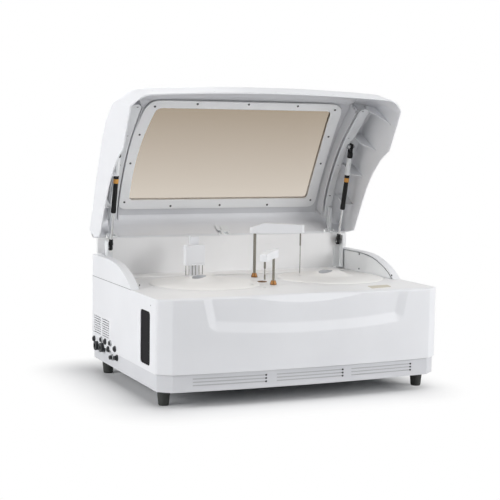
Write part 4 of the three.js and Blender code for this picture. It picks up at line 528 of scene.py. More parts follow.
# %% Moulded plastics, paints, rubber and metals
GROUND, TURNED = {"metal": 1.0, "stretch": (1, 1, 0.04)}, {"metal": 1.0, "stretch": (0.2, 0.2, 5)}
FAMILIES = {  # name, tone, shade, roughness, grain in cycles a metre, relief in metres, options
    "shell": ("shell_white", "eeeff2", "e8e9ec", 0.46, 1800, 6e-5),
    # A lighter copy of the shell's white for the rear wall: painted light.
    "wall": ("wall_white_painted_light", "f7f7f7", "f1f1f2", 0.5, 1700, 5e-5),
    "skirt": ("skirt_grey", "dcdde0", "d5d6da", 0.5, 1600, 7e-5),
    # Darker than the skirt: painted shade for the strips in the skirt's grooves, and the lip caps'
    # own grey.
    "groove": ("cap_grey_and_painted_groove_shade", "bfc0c2", "b8b9bb", 0.55, 1600, 6e-5),
    "liner": ("liner_grey", "d6d7da", "cecfd3", 0.55, 1700, 7e-5),
    "arm": ("arm_paint", "dfe1e3", "d6d8db", 0.42, 500, 6e-5),
    # A dark grey: painted shade along the wing seams, also used for the dark line round the wing
    # plates.
    "seam_shade": ("painted_seam_shade", "6e7074", "606266", 0.7, 900, 6e-5),
    "beige": ("badge_beige", "cfc8b8", "c5beae", 0.5, 1400, 4e-5, {"drift": 30}),
    "bezel": ("bezel_white", "f2f3f4", "eaebec", 0.5, 1700, 7e-5),
    "cream": ("cover_white", "f3f2f0", "ecebe9", 0.42, 1500, 5e-5),
    # A darker grey: shade painted into the covers' finger scoops.
    "scoop": ("scoop_painted_shade", "b6b7ba", "adaeb2", 0.5, 1500, 5e-5),
    "deck": ("deck_white", "efefef", "e8e8e9", 0.4, 1500, 5e-5),
    # Black of the inlet, switch, ports, couplings and screws, and painted shade of the holes at the
    # grooves' ends.
    "dark": ("black_parts_and_painted_hole_shade", "26292c", "1e2124", 0.5, 1600, 8e-5),
    "rubber": ("foot_rubber", "3a3c3a", "2f312f", 0.78, 900, 1e-4),
    "paint": ("painted_plate", "eef0f1", "e7e9eb", 0.36, 500, 6e-5),
    "frame_paint": ("frame_grey", "a9adb1", "9ea2a6", 0.5, 500, 8e-5),
    "steel": ("ground_steel", "7a776f", "6b6861", 0.3, 900, 2e-5, GROUND),
    "bright": ("bright_rod", "d8d9da", "cfd0d1", 0.16, 700, 1e-5, {"metal": 1.0}),
    "zinc": ("zinc_screw", "a2a4a6", "a8aaac", 0.33, 1400, 3e-5, {"metal": 1.0}),
    "screw": ("screw_dark", "5c5d5f", "4c4d50", 0.4, 1400, 3e-5, {"metal": 0.8}),
    "brass": ("turned_brass", "7d5a38", "644529", 0.36, 1100, 3e-5, TURNED),
    "black": ("strut_black", "0f0f10", "0b0b0c", 0.34, 600, 3e-5, {"gloss": 0.25}),
    "board": ("board_green", "2c6b46", "235a3a", 0.4, 700, 4e-5, {"coat": 0.2}),
    "pot": ("pot_brown", "8a6a4c", "7a5c40", 0.45, 1100, 6e-5),
    "tray": ("cuvette_tray", "aab4b6", "9da8aa", 0.35, 1200, 4e-5),
    "amber": ("label_amber", "dca24e", "d0923c", 0.5, 2200, 2e-5, {"drift": 40}),
    "smoke": ("smoked_window", "1a181c", "141216", 0.34, 300, 1e-5, {"gloss": 0.015}),
}
finish = {key: surface_finish(*row[:6], **dict(*row[6:])) for key, row in FAMILIES.items()}
glass_low, glass_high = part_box("lid_window")
finish["window"] = tinted_sheet("window_tint", "a79a89", "d6cdc2", glass_high.z, glass_low.z)
print("finishes:", len(finish))

# %% [markdown]
# ## Dressing the solids
#
# Solids whose shape is already right keep it and only get a finish. A solid is one mesh of flat
# triangles, which is right for folded sheet metal and machined parts.

# %% Give each solid its finish
WEAR = {
    "shell": "front_panel side_panel_left side_panel_right rear_panel wing_left wing_right"
    " lid_shell probe_arm mixer_arm wash_head wash_post",
    "wall": "rear_wall",
    "skirt": "base_skirt",
    "liner": "lid_liner",
    "bezel": "window_bezel",
    "cream": "reaction_cover reagent_cover",
    "deck": "deck_plate",
    "dark": "power_inlet power_switch port_plate waste_coupling water_coupling",
    "pot": "wash_pot",
    "smoke": "side_window",
    "rubber": "foot_front_left foot_front_right foot_rear_left foot_rear_right",
    "paint": "wing_plate_left wing_plate_right strut_bracket_left strut_bracket_right"
    " lid_arm_left lid_arm_right hinge_leaf hinge_rail",
    "frame_paint": "chassis_plate inner_frame power_supply",
    "steel": "probe_column mixer_column probe_needle mixer_paddle wash_manifold",
    "bright": "strut_rod_left strut_rod_right",
    "zinc": "reaction_motor reagent_motor",
    "brass": "probe_bush mixer_bush",
    "black": "strut_tube_left strut_tube_right",
    "board": "control_board",
    "tray": "reaction_ring reagent_carousel reaction_bowl reagent_bowl syringe_pump",
    "window": "lid_window",
}
for key, names in WEAR.items():
    for name in names.split():
        frame["nodes"][name].material_slots[0].material = finish[key]
dressed = sum(len(names.split()) for names in WEAR.values())
print("solids dressed:", dressed, "of", len(frame["nodes"]))

# %% [markdown]
# ## The lid
#
# The lid is one large moulding of a strong, light foam plastic, about 4 mm thick here. Its top is
# arched like a car's bonnet so that it doesn't drum, its sides bend down to the wings, and its
# front drops to the rim. A surface like that could be sculpted, but it is easier to steer as a
# family of sections: for each place across the lid there is one curve from the hinge over the
# crown down to the front rim. The whole skin is then one ring of points, from the edge of the
# window outwards, because a ring has the window's hole in it from the start and no cutting is
# needed. All of it is drawn with the lid shut, and turned open at the end.

# %% Measures of the lid
RIM, LID_HEIGHT, BACK_EDGE = 302.0, 213.0, (316.75, 415.5)
HINGE, OPENED = 425, math.radians(-61.7)  # height of the pins, and the turn from shut to open
CROWN_REAR, CROWN_TOP, TILT = 266, 516, math.radians(6.03)  # the window's plane
ARCH_REAR, ARCH_FRONT, ARCH_RISE = 268.0, -118.0, 22
BLEND, CORNER, EDGE = 340, 386, 6  # where the sides and the corners begin, and the rim's radius
SIDE_REAR, SIDE_LENGTH, CORNER_BACK = 316.15, 409.65, 38  # of the sections at the sides
HINGE_DIP = np.array([40, 8] + [0] * 10)  # how far the crown's rear knots bend down to the hinge
LAST = 19  # index of the last point of a section
# Knots of the crown at the sides, forward and up: shares of SIDE_LENGTH and of LID_HEIGHT.
CROWN_SHARES = np.array([
    (0, 0.751), (0.0449, 0.775), (0.1226, 0.79), (0.2351, 0.813), (0.347, 0.836), (0.4605, 0.855),
    (0.5738, 0.87), (0.6728, 0.876), (0.7717, 0.878), (0.8213, 0.874), (0.8706, 0.868),
    (0.8973, 0.863)])
# Points of the front, back from the rim and up: both are shares of LID_HEIGHT.
FRONT_SHARES = np.array([(0.5, 0.778), (0.42, 0.742), (0.329, 0.695), (0.216, 0.577),
                         (0.131, 0.413), (0.075, 0.225), (0, 0)])
# Knots of the crown over the middle: shares of the way from CROWN_REAR to ARCH_FRONT.
MIDDLE_SHARES = np.array([0, 0.1217, 0.2434, 0.3664, 0.4894, 0.5966, 0.7037, 0.7857, 0.893, 1.0])
KNOTS = np.concatenate([[BACK_EDGE[0], 298.25],
                        CROWN_REAR + MIDDLE_SHARES * (ARCH_FRONT - CROWN_REAR)])
# The wing's top line from front to rear, and the lid's lower edge that follows 3.2 mm above it.
WING = np.array([(-0.19, 0), (-0.13, 0.2), (-0.07, 0.37), (0, 0.53), (0.075, 0.66), (0.15, 0.775),
                 (0.25, 0.885), (0.38, 0.965), (0.52, 1)]) * (HALF_DEPTH, 67.2) + (0, DECK)
rim_curve = np.concatenate([curve_through(WING, 90) + (0, 3.2), [(280, 369.2), BACK_EDGE]])


# %% Sections of the lid
def arch(y):
    """Rise of the window over its chord: t runs from -1 to 1, and 1 - t t times ARCH_RISE."""
    t = (2 * y - ARCH_REAR - ARCH_FRONT) / (ARCH_REAR - ARCH_FRONT)
    return ARCH_RISE * np.clip(1 - t**2, 0, None)


def on_slope(y, height):
    """Height of the plane that rises to the rear by TILT and has that height at CROWN_REAR."""
    return height + (y - CROWN_REAR) * math.tan(TILT)


def smooth_step(t):
    """0 below 0, 1 above 1, and t t (3 - 2 t) between."""
    t = np.clip(t, 0, 1)
    return t * t * (3 - 2 * t)


def front_bow(x):
    """Front rim of the lid: 14 (x / 403)^2 behind y = -252."""
    return -252 + 14 * np.minimum(np.abs(x) / 403, 1) ** 2


def crown_points(x):
    """Twenty section points at each x: back edge, crown (between middle and side), then front."""
    ax = np.abs(x)[:, None]
    side = smooth_step((ax - BLEND) / (HALF_WIDTH - EDGE - BLEND))
    drop = EDGE - np.sqrt(EDGE**2 - np.clip(ax - HALF_WIDTH + EDGE, 0, EDGE) ** 2)
    rise = arch(KNOTS)
    middle_y = KNOTS - rise * math.sin(TILT)
    middle_z = on_slope(KNOTS, CROWN_TOP) + rise * math.cos(TILT) - HINGE_DIP
    side_y = SIDE_REAR - CROWN_SHARES[:, 0] * SIDE_LENGTH
    side_z = RIM + CROWN_SHARES[:, 1] * LID_HEIGHT
    crown = np.stack([middle_y + (side_y - middle_y) * side,
                      middle_z + (side_z - middle_z) * side - drop], -1)
    corner = np.clip((ax - CORNER) / (HALF_WIDTH - CORNER), 0, None) ** 1.9 * CORNER_BACK
    front_y = front_bow(ax) + corner + FRONT_SHARES[:, 0] * LID_HEIGHT
    front_z = RIM + FRONT_SHARES[:, 1] * (LID_HEIGHT - drop) + np.zeros_like(front_y)
    flat_z = on_slope(front_y[:, :1], CROWN_TOP)
    front_z[:, :1] = flat_z + (front_z[:, :1] - flat_z) * side - drop * 0.3
    back = np.broadcast_to(BACK_EDGE, (len(x), 1, 2))
    return np.concatenate([back, crown, np.stack([front_y, front_z], -1)], 1)


# %% The surface through all sections
def lid_skin(u, i, half=HALF_WIDTH, low=rim_curve):
    """Point of the outer skin. u runs across and, past half, down to the low curve, and i runs
    along the section from the back edge at 0 to the front rim at 19."""
    x = np.clip(u, -half, half)
    sections = crown_points(x)
    k = np.clip(i.astype(int), 0, LAST - 1)
    row = np.arange(len(x))
    four = [sections[row, np.clip(k + step, 0, LAST)] for step in (-1, 0, 1, 2)]
    y, z = blend_four(*four, (i - k)[:, None]).T
    y = np.minimum(y, BACK_EDGE[0])
    down = np.clip((np.abs(u) - half) / 100, 0, 1)
    z = z + (np.minimum(np.interp(y, low[:, 0], low[:, 1]), z) - z) * down
    return np.stack([x, y, z], -1)


index_line = np.linspace(0, LAST, 1900)
index_y = lid_skin(np.zeros_like(index_line), index_line)[:, 1]
print("the lid reaches from y =", round(index_y.min(), 1), "to", round(index_y.max(), 1), "mm")


def section_plane(outline):
    """An outline's x, and the section index whose point over the middle has the outline's y."""
    return np.stack([outline[:, 0], np.interp(-outline[:, 1], -index_y, index_line)], 1)


def open_lid(points):
    """The shut lid's millimetres to the open model: turned by OPENED about the hinge."""
    x, y, z = np.asarray(points, float).T
    c, s, y, z = math.cos(OPENED), math.sin(OPENED), y - HALF_DEPTH, z - HINGE
    return to_model(np.stack([x, HALF_DEPTH + y * c - z * s, HINGE + y * s + z * c], -1))


# %% Outlines of the window
OPEN_REAR, OPEN_FRONT, OPEN_HALF_REAR, OPEN_HALF_FRONT, BOWED = 238.0, -112.0, 312, 293, 12
ARC_STEPS, COUNTS = 8, (110, 70, 110, 70)  # points of a corner, and of each side of a ring


def window_outline(grow_rear, grow_front, grow_side, rear_corner, front_corner):
    """Six corners of the opening, moved out, its sides bowed, each corner eased."""
    rear, front = OPEN_REAR + grow_rear, OPEN_FRONT - grow_front
    rear_half, front_half = OPEN_HALF_REAR + grow_side, OPEN_HALF_FRONT + grow_side
    bow, middle = (rear_half + front_half) / 2 + BOWED, (rear + front) / 2
    corners = [(-front_half, front), (front_half, front), (bow, middle), (rear_half, rear),
               (-rear_half, rear), (-bow, middle)]
    ease = 0.31 * (rear - front)
    eased = [front_corner, front_corner, ease, rear_corner, rear_corner, ease]
    return corner_arcs(corners, eased, ARC_STEPS)


def crowded(u):
    """Shares from 0 to 1, drawn closer together near both ends."""
    return 0.45 * u + 0.55 * (0.5 - 0.5 * np.cos(math.pi * u))


def four_sides(outline):
    """The outline resampled in COUNTS points, from the middle of one corner's arc to the next."""
    arc = ARC_STEPS + 1
    marks = np.array([0, 1, 3, 4, 6]) * arc + arc // 2
    ring = np.concatenate([outline, outline[:arc]])
    parts = []
    for start, end, count in zip(marks[:-1], marks[1:], COUNTS):
        side = ring[start : end + 1]
        run = np.append(0, np.cumsum(np.linalg.norm(np.diff(side, axis=0), axis=1)))
        u = crowded(np.arange(count) / count)
        parts.append(np.stack([np.interp(u * run[-1], run, side[:, axis]) for axis in (0, 1)], 1))
    return np.concatenate(parts)


# %% Rings and walls of the skin
def border(half, front, rear, side_half, side_front, side_rear):
    """Rectangle in the section plane, each of its four edges with its own reach."""
    corners = [(-half, front), (half, front), (side_half, side_front), (side_half, side_rear),
               (half, rear), (-half, rear), (-side_half, side_rear), (-side_half, side_front)]
    parts = []
    for start, end, count in zip(corners[::2], corners[1::2], COUNTS):
        level = start[1] == end[1]
        u = crowded(np.arange(count)[:, None] / (count if level else count - 0.5))
        parts.append(np.array(start) * (1 - u) + np.array(end) * u)
    return np.concatenate(parts)


def rings_between(inner, *stages):
    """Rings in the section plane, straight from one outline to the next in so many steps."""
    before = section_plane(inner)
    rings = [before[None]]
    for after, steps in stages:
        t = (np.arange(1, steps + 1) / steps)[:, None, None]
        rings.append(before[None] * (1 - t) + after[None] * t)
        before = after
    return np.concatenate(rings)


def walled(grid, wall, sink=0.0):
    """Closed wall: the grid moved in along its normals by sink, and again by sink + wall."""
    around = np.roll(grid, -1, 1) - np.roll(grid, 1, 1)
    normal = unit(np.cross(np.gradient(grid, axis=0), around))
    return np.concatenate([grid - normal * sink, (grid - normal * (sink + wall))[::-1]])


def ring_piece(name, node, wall, points, look):
    """The lid's piece from a wall of rings that close both ways. It stands for a solid."""
    faces = grid_faces(*wall.shape[:2], wrap_rows=True, wrap_columns=True)
    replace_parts(finish_piece(name, points, faces, look, "lid"), node)
    print(name, wall.shape)


# %% The lid's skin, with a notch over each hinge
HINGE_X, NOTCH_HALF, NOTCH_HEIGHT = 380, 17.7, 434
hole = four_sides(window_outline(0, 0, 0, 14, 20))
rings = rings_between(
    hole,
    (border(BLEND, 13.2, 2.4, BLEND + 5, 13.0, 2.6), 5),
    (border(HALF_WIDTH - EDGE, 17.0, 1.2, HALF_WIDTH - EDGE, 17.0, 1.2), 16),
    (border(HALF_WIDTH, 17.6, 0.9, HALF_WIDTH, 17.5, 1.0), 5),
    (border(HALF_WIDTH, LAST, 0.0, HALF_WIDTH + 100, 18.86, 0.05), 12))
skin = lid_skin(rings[..., 0].ravel(), rings[..., 1].ravel()).reshape(*rings.shape[:2], 3)
for hinge in (-HINGE_X, 0, HINGE_X):
    near = np.abs(skin[..., 0] - hinge) < NOTCH_HALF
    notch = near & (rings[..., 1] < 0.8) & (skin[..., 1] > 300)
    skin[..., 2] = np.where(notch, np.maximum(skin[..., 2], NOTCH_HEIGHT), skin[..., 2])
wall = walled(skin, 4.0)
lid_points = np.clip(open_lid(wall.reshape(-1, 3)), *cad_box)
ring_piece("lid_skin", "lid_shell", wall, lid_points, "shell")

# %% [markdown]
# ## Ribs, liner, bezel and window
#
# Thin gusset ribs stand between the lid's skin and its side walls. The liner is a second, grey
# moulding that closes the underside: it follows the skin a few millimetres below it, so it is the
# same family of sections with a larger hole and its own side walls, which come down to the hinge
# arms. The bezel is a flat frame that clamps the window from below. Bezel and window are drawn
# flat and then laid on the same arch, so the gap between them stays even.

# %% Gusset ribs
SIDES = ((-1, "left"), (1, "right"))
# Each rib's place and lower end, as shares of the body's half depth and of the lid's height.
RIBS = ((-0.436, 0.13), (-0.067, 0.315), (0.3015, 0.48), (0.664, 0.53))
RIB_INNER, RIB_OUTER, RIB_FOOT, RIB_UNDER = 400, 437.5, 415, 3


def skin_height(x, y):
    """Height of the outer skin over a point of the side blend."""
    along = np.linspace(0.6, LAST, 300)
    section = lid_skin(np.full_like(along, x), along)
    return np.interp(-y, -section[:, 1], section[:, 2])


for share, low in RIBS:
    rib_y = share * HALF_DEPTH
    xs = np.linspace(RIB_INNER, RIB_OUTER, 9)
    tops = np.array([skin_height(x, rib_y) for x in xs]) - RIB_UNDER
    hollow = RIB_FOOT + (RIM + low * LID_HEIGHT - RIB_FOOT) * np.linspace(0, 1, 9) ** 1.4
    for side, label in SIDES:
        outline = np.stack([side * np.append(xs, xs[::-1]), np.append(hollow, tops[::-1])], 1)
        soft_plate(f"lid_rib_{label}_{int(share * 100) + 50}", outline, rib_y - 1.5, rib_y + 1.5,
                   "y", "shell", "lid", edge=0.5, place=open_lid)
print("ribs:", 2 * len(RIBS))

# %% Liner
# The hinge arm's line from front to rear, which is also the liner's lower edge.
ARM = np.array([(0, -0.0427), (0.176, 0.0751), (0.3033, 0.1512), (0.4456, 0.2028), (0.5834, 0.2282),
                (0.7228, 0.231), (0.8576, 0.2085), (1, 0.1315)]
               ) * (416.18, LID_HEIGHT) + (-138.73, HINGE)
arm_line = curve_through(ARM, 80)
liner_low = np.concatenate([[(-400, 900), (-150, 900)], arm_line, [(284, 900), (400, 900)]])
LINER = 361.7  # half its width
rings = rings_between(
    four_sides(window_outline(31.4, 28.4, 35.4, 30, 44)),
    (border(356, 14.6, 2.6, 356, 14.4, 2.8), 7),
    (border(LINER, 15.5, 2.4, LINER, 15.2, 2.5), 3),
    (border(LINER, 18.6, 2.1, LINER + 100, 18.5, 2.2), 12))
under = lid_skin(rings[..., 0].ravel(), rings[..., 1].ravel(), LINER, liner_low)
wall = walled(under.reshape(*rings.shape[:2], 3), 2.5, sink=4.4)
wall[..., 0] = np.clip(wall[..., 0], -LINER, LINER)
ring_piece("lid_lining", "lid_liner", wall, open_lid(wall.reshape(-1, 3)), "liner")


# %% Bezel and window
GLASS = 506.6  # height of the window's lower face at CROWN_REAR


def on_window(points):
    """Flat (x, y, height over the glass) laid on the tilted, arched plane, then opened."""
    x, y, h = np.asarray(points, float).T
    h = h + arch(y)
    z = on_slope(y, GLASS) + h * math.cos(TILT)
    return open_lid(np.stack([x, y - h * math.sin(TILT), z], -1))


def soft_frame(name, outer, inner, low, high, look, edge, place):
    """A ring between two outlines of equal point count, its four rims cut back by edge."""
    rings = [(outer, edge, low), (outer, 0, low + edge), (outer, 0, high - edge),
             (outer, edge, high), (inner, -edge, high), (inner, 0, high - edge),
             (inner, 0, low + edge), (inner, -edge, low)]
    points = [stand(moved_in(outline, inset), z, "z") for outline, inset, z in rings]
    faces = grid_faces(len(rings), len(outer), wrap_rows=True, wrap_columns=True)
    return finish_piece(name, place(np.concatenate(points)), faces, look, "lid")


def arched_sheet(name, outline, low, high, look, place):
    """Rings of the outline: grown from its middle on top, and shrunk back to it below."""
    middle = outline.mean(0)
    shares = np.array([0.02, 0.2, 0.4, 0.6, 0.8, 0.94, 1.0])
    flat = middle + (outline - middle) * shares[:, None, None]
    points = [stand(ring, high, "z") for ring in flat]
    points += [stand(ring, low, "z") for ring in flat[::-1]]
    faces = capped_faces(len(points), len(outline))
    return finish_piece(name, place(np.concatenate(points)), faces, look, "lid")


bezel_rim = four_sides(window_outline(30, 27, 34, 30, 44))
bezel_piece = soft_frame("window_frame", bezel_rim, hole, -6, -0.3, "bezel", 1.1, on_window)
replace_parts(bezel_piece, "window_bezel")
pane = four_sides(window_outline(9.5, 9.5, 9.5, 14, 20))
window_piece = arched_sheet("tinted_window", pane, 0, 4.7, "window", on_window)
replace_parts(window_piece, "lid_window")
print("window frame and pane:", len(bezel_piece.data.polygons), len(window_piece.data.polygons))

# %% [markdown]
# ## Screws
#
# A machine like this is held together by small pan-head screws. One head is a turned profile with
# a round recess, and all the heads of one group are one mesh: the same head carried to each place
# and turned to its direction.

# %% Screw heads
HEAD = np.array([(0.001, 0.4), (0.36, 0.4), (0.42, 0.96), (0.7, 1.0), (0.92, 0.72), (1.0, 0.2),
                 (1.0, -0.3), (0.001, -0.3)])
HEAD_SIDES = 14


def screws(name, centres, axis, radius, height, look, body, place=to_model):
    """Copies of one head: centre + head turned so that its z lies along axis."""
    head = turned_points(HEAD * (radius, height), HEAD_SIDES)
    axis = unit(np.array(axis, float))
    side = unit(np.cross(axis, [0.31, 0.9, 0.3]))
    turn = np.stack([side, np.cross(axis, side), axis])
    centres = np.asarray(centres, float)
    points = (centres[:, None] + (head @ turn)[None]).reshape(-1, 3)
    one = grid_faces(len(HEAD), HEAD_SIDES, wrap_columns=True)
    first = (np.arange(len(centres)) * len(head))[:, None, None]
    return finish_piece(name, place(points), (one[None] + first).reshape(-1, 4), look, body)


BEZEL_SCREWS = [(-302, -118), (302, -118), (-168, -130), (168, -130), (0, -132.5), (-322, -4),
                (322, -4), (-329, 105), (329, 105), (-326, 243), (326, 243), (-169.5, 258),
                (169.5, 258), (0, 257)]
screws("bezel_screws", [(x, y, -6) for x, y in BEZEL_SCREWS], (0, 0, -1), 3.4, 2.0,
       "screw", "lid", on_window)
print("bezel screws:", len(BEZEL_SCREWS))

# %% [markdown]
# ## The front panel
#
# The front is one vacuum-formed sheet about 4 mm thick. Its face bows forward in the middle, its
# corners are cut back, a shallow trapezoid with sloping bands is pressed into it, and a crescent is
# pressed into its top edge. All of this is one height field: every point of a fine grid knows how
# far it lies behind the flat bow, and a soft ramp stands for each sloping band. The grid is finer
# where the bands run, so that their edges stay crisp.

# %% How far each point of the front lies back
NOSE, BOW, CUT = 401.5, 18.8, -292.95  # half width of the face, its bow, and where its cut starts
RECESS_DEPTH, RECESS_FOOT, RECESS_HALF, RECESS_FLARE = 10.5, 205, 300, 22
RECESS_MIDDLE, BAND = 4, 27
CRESCENT_HALF, CRESCENT_DEPTH, CRESCENT_FALL = 216, 36, 28


def soft_ramp(t, ease=0.06):
    """0 below 0, 1 above 1, straight between, with eased bends: (|t| - |t - 1| + 1) / 2."""
    return (np.sqrt(t**2 + ease**2) - np.sqrt((t - 1) ** 2 + ease**2) + 1) / 2


def soft_least(a, b, ease):
    """The lesser of a and b, its crease eased: (a + b - sqrt((a - b)^2 + ease^2)) / 2."""
    return (a + b - np.sqrt((a - b) ** 2 + ease**2)) / 2


def bow_line(x):
    """Front line of the body: the bow, or the cut corner where that lies further back."""
    bow = BOW * (x / NOSE) ** 2 - HALF_DEPTH
    cut = CUT + (np.abs(x) - NOSE) * 31 / (HALF_WIDTH - NOSE)
    return bow + cut - soft_least(bow, cut, 1.2)


def pressed_in(x, z):
    """How far the face lies behind the bow: the trapezoid, or the crescent at the top."""
    half = RECESS_HALF + RECESS_FLARE * (z - RECESS_FOOT) / (DECK - RECESS_FOOT)
    off = np.abs(x - RECESS_MIDDLE)
    along = off / 302
    low = 196 + 15 * np.minimum(along**2, 1) + 16 * np.clip((along - 0.92) / 0.1, 0, 1.2) ** 2
    inside = soft_least((half - off) / BAND, (z - low) / BAND, 0.06)
    trapezoid = RECESS_DEPTH * soft_ramp(inside)
    share = np.clip(1 - (x / CRESCENT_HALF) ** 2, 0.0001, None)
    fall = CRESCENT_FALL * share
    crescent = CRESCENT_DEPTH * share * np.clip((z - (DECK - fall)) / fall, 0, 1)
    return trapezoid + np.clip(crescent - trapezoid, 0, None)


# %% The front's grid and its turned top edge
FLANGE_END, FRONT_WALL = -262.0, 3.6  # the flange ends where the deck plate begins


def thick_sheet(grid, wall):
    """Closed body: the grid, a copy moved in along its normals by wall, and strips round it."""
    rows, columns = grid.shape[:2]
    normal = unit(np.cross(np.gradient(grid, axis=1), np.gradient(grid, axis=0)))
    points = np.concatenate([grid.reshape(-1, 3), (grid - normal * wall).reshape(-1, 3)])
    skin, lift = grid_faces(rows, columns), rows * columns
    index = np.arange(lift).reshape(rows, columns)
    loop = np.concatenate([index[0], index[1:, -1], index[-1, -2::-1], index[-2:0:-1, 0]])
    ahead = np.roll(loop, -1)
    rim = np.stack([loop, ahead, ahead + lift, loop + lift], 1)
    return points, np.concatenate([skin, skin[:, ::-1] + lift, rim[:, ::-1]])


xs = np.concatenate([np.arange(0, 262, 4.0), np.arange(262, 332, 1.6), np.arange(332, 394, 5.0),
                     np.arange(394, 409, 1.0), np.linspace(409, HALF_WIDTH, 6)])
xs = np.concatenate([-xs[:0:-1], xs])
zs = np.concatenate([np.linspace(93.4, 96, 3), np.arange(100, 186, 6.0), np.arange(186, 240, 1.5),
                     np.arange(240, 264, 3.0), np.arange(264, 297, 1.5)])
z, x = np.meshgrid(zs, xs, indexing="ij")
face = np.stack([x, bow_line(x) + pressed_in(x, z), z], -1)
top_y = bow_line(xs) + pressed_in(xs, np.full_like(xs, DECK - 0.6))
depth = np.maximum(FLANGE_END - top_y, 0.2)
back = np.array([0.75, 2.6, 5.0, 12.0])[:, None] * np.minimum(1, depth / 13)
top_y = np.concatenate([top_y + back, [top_y + depth]])
top_z = np.broadcast_to(DECK - np.array([[0.7], [0], [0], [0], [0]]), top_y.shape)
top = np.stack([np.broadcast_to(xs, top_y.shape), top_y, top_z], -1)
points, faces = thick_sheet(np.concatenate([face, top]), FRONT_WALL)
front_piece = finish_piece("front_cover", to_model(points), faces, "shell", "base")
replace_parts(front_piece, "front_panel")
print("front cover:", len(faces), "faces")

# %% [markdown]
# ## Folded and machined parts
#
# Sheet-metal and moulded parts whose solids already have the right form only lack the small radius
# that every real edge has, and which is what catches the light. Drawing them again would say
# nothing new, so each gets a copy of its solid with the loose triangles merged, flat faces joined,
# and the edges rolled over by about a millimetre.

# %% Copies with rolled edges
MERGE, FLAT, SHARP = 0.02 * MM, math.radians(1.0), math.radians(35)
ROLLED = {  # node: width of its rolled edges in millimetres
    "wing_left": 1.2, "wing_right": 1.2, "rear_wall": 1.0, "wing_plate_left": 0.4,
    "wing_plate_right": 0.4, "probe_arm": 1.6, "mixer_arm": 1.2, "wash_head": 1.6,
    "wash_post": 1.2, "wash_manifold": 0.5, "strut_bracket_left": 0.6,
    "strut_bracket_right": 0.6, "power_switch": 0.5, "rear_panel": 0.6,
}


def rolled_copy(node, width):
    """Merges the solid's points, joins its flat faces and bevels each sharp edge by width."""
    solid = frame["nodes"][node]
    shape = bmesh.new()
    shape.from_mesh(solid.data)
    bmesh.ops.remove_doubles(shape, verts=shape.verts, dist=MERGE)
    bmesh.ops.dissolve_limit(shape, angle_limit=FLAT, verts=shape.verts, edges=shape.edges)
    mesh = bpy.data.meshes.new(node + "_rolled")
    shape.to_mesh(mesh)
    shape.free()
    mesh.polygons.foreach_set("use_smooth", np.full(len(mesh.polygons), True))
    piece = link(bpy.data.objects.new(node + "_rolled", mesh))
    mesh.materials.clear()
    mesh.materials.append(solid.material_slots[0].material)
    bevel = piece.modifiers.new("rolled_edges", "BEVEL")
    bevel.width, bevel.segments, bevel.limit_method = width * MM, 2, "ANGLE"
    bevel.angle_limit, bevel.use_clamp_overlap, bevel.harden_normals = SHARP, False, True
    even_normals(piece)
    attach(piece, body_of(solid)[0])
    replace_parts(piece, node)
    return piece


rolled = {node: rolled_copy(node, width) for node, width in ROLLED.items()}
print("rolled copies:", len(rolled))

# %% The wash manifold's plate is moulded in white
PLATE = 4.5
manifold = rolled["wash_manifold"].data
manifold.materials.append(finish["shell"])
plate_low = max(v.co.z for v in manifold.vertices) - PLATE * MM
for face in manifold.polygons:
    face.material_index = int(face.center.z > plate_low)
print("white faces on the wash manifold:", sum(f.material_index for f in manifold.polygons))

# %% [markdown]
# ## Skirt grooves
#
# The slots in the skirt look like grooves: a strip closes them from behind about a millimetre down,
# in a grey darker than the skirt's that paints the groove's shade, and at the right end of each a
# dark disc paints the shade of an open screw hole.

# %% Strips behind the slots, grey with painted shade, and dark discs of painted hole shade
SLOTS = ((-0.78, -0.286), (-0.22, 0.259), (0.316, 0.782))  # their ends, as shares of the width
SLOT_TOPS, COLUMNS = (82, 73, 64), 40


def joined(parts):
    """One array of points and one list of faces from several pairs of them."""
    points, faces = [], []
    for some, quads in parts:
        base = sum(map(len, points))
        faces += [[index + base for index in quad] for quad in quads]
        points.append(some)
    return np.concatenate(points), faces


strips, dots = [], []
strip_faces = grid_faces(4, COLUMNS, wrap_rows=True).tolist()
ends = np.arange(4) * COLUMNS
strip_faces += [ends.tolist(), (ends[::-1] + COLUMNS - 1).tolist()]
for start, end in SLOTS:
    run = np.linspace(start * HALF_WIDTH - 0.6, end * HALF_WIDTH + 0.6, COLUMNS)
    y = bow_line(run) + 5
    dot = end * HALF_WIDTH - 3.2
    for high in SLOT_TOPS:
        rings = [np.stack([run, y + back, np.full(COLUMNS, high + up)], 1)
                 for back, up in ((1.3, 0.4), (1.3, -3.6), (2.6, -3.6), (2.6, 0.4))]
        strips.append((np.concatenate(rings), strip_faces))
        dots.append((dot, bow_line(dot) + 5.6, high - 1.6))
points, faces = joined(strips)
# the strips' darker grey is shade painted into the grooves
finish_piece("groove_strips", to_model(points), faces, "groove", "base")
# dark discs at the grooves' right ends: painted shade of open screw holes
screws("groove_hole_shade", dots, (0, -1, 0), 3.0, 1.0, "dark", "base")
print("grooves:", len(strips))

# %% [markdown]
# ## Disc covers
#
# Each rotating disc is kept dark and clean by a loose moulded cover: a shallow dome that rises to a
# grip in the middle, with a scoop for the fingers on one side. The dome is a turned profile, but
# the scoop isn't round, so the cover is a polar grid of heights instead: the dome's height at each
# radius, cut down to the ball that makes the scoop. The scoop's faces get a darker grey, which is
# shade painted into the scoop.

# %% The cover's height at each radius and angle
COVER_RADIUS, COVER_WALL, COVER_FOOT = 165, 2.5, DECK + 0.3
SCOOP, SCOOP_RADIUS = np.array([-23.0, -9.0, 33.0]), 24.0
DOME = np.array([(0, 25), (16, 25), (24, 24.4), (36, 21.2), (50, 14.6), (66, 9.2), (84, 7.6),
                 (118.8, 7), (153, 4.8), (161, 3.2), (164, 2.2), (COVER_RADIUS, 0.8)])


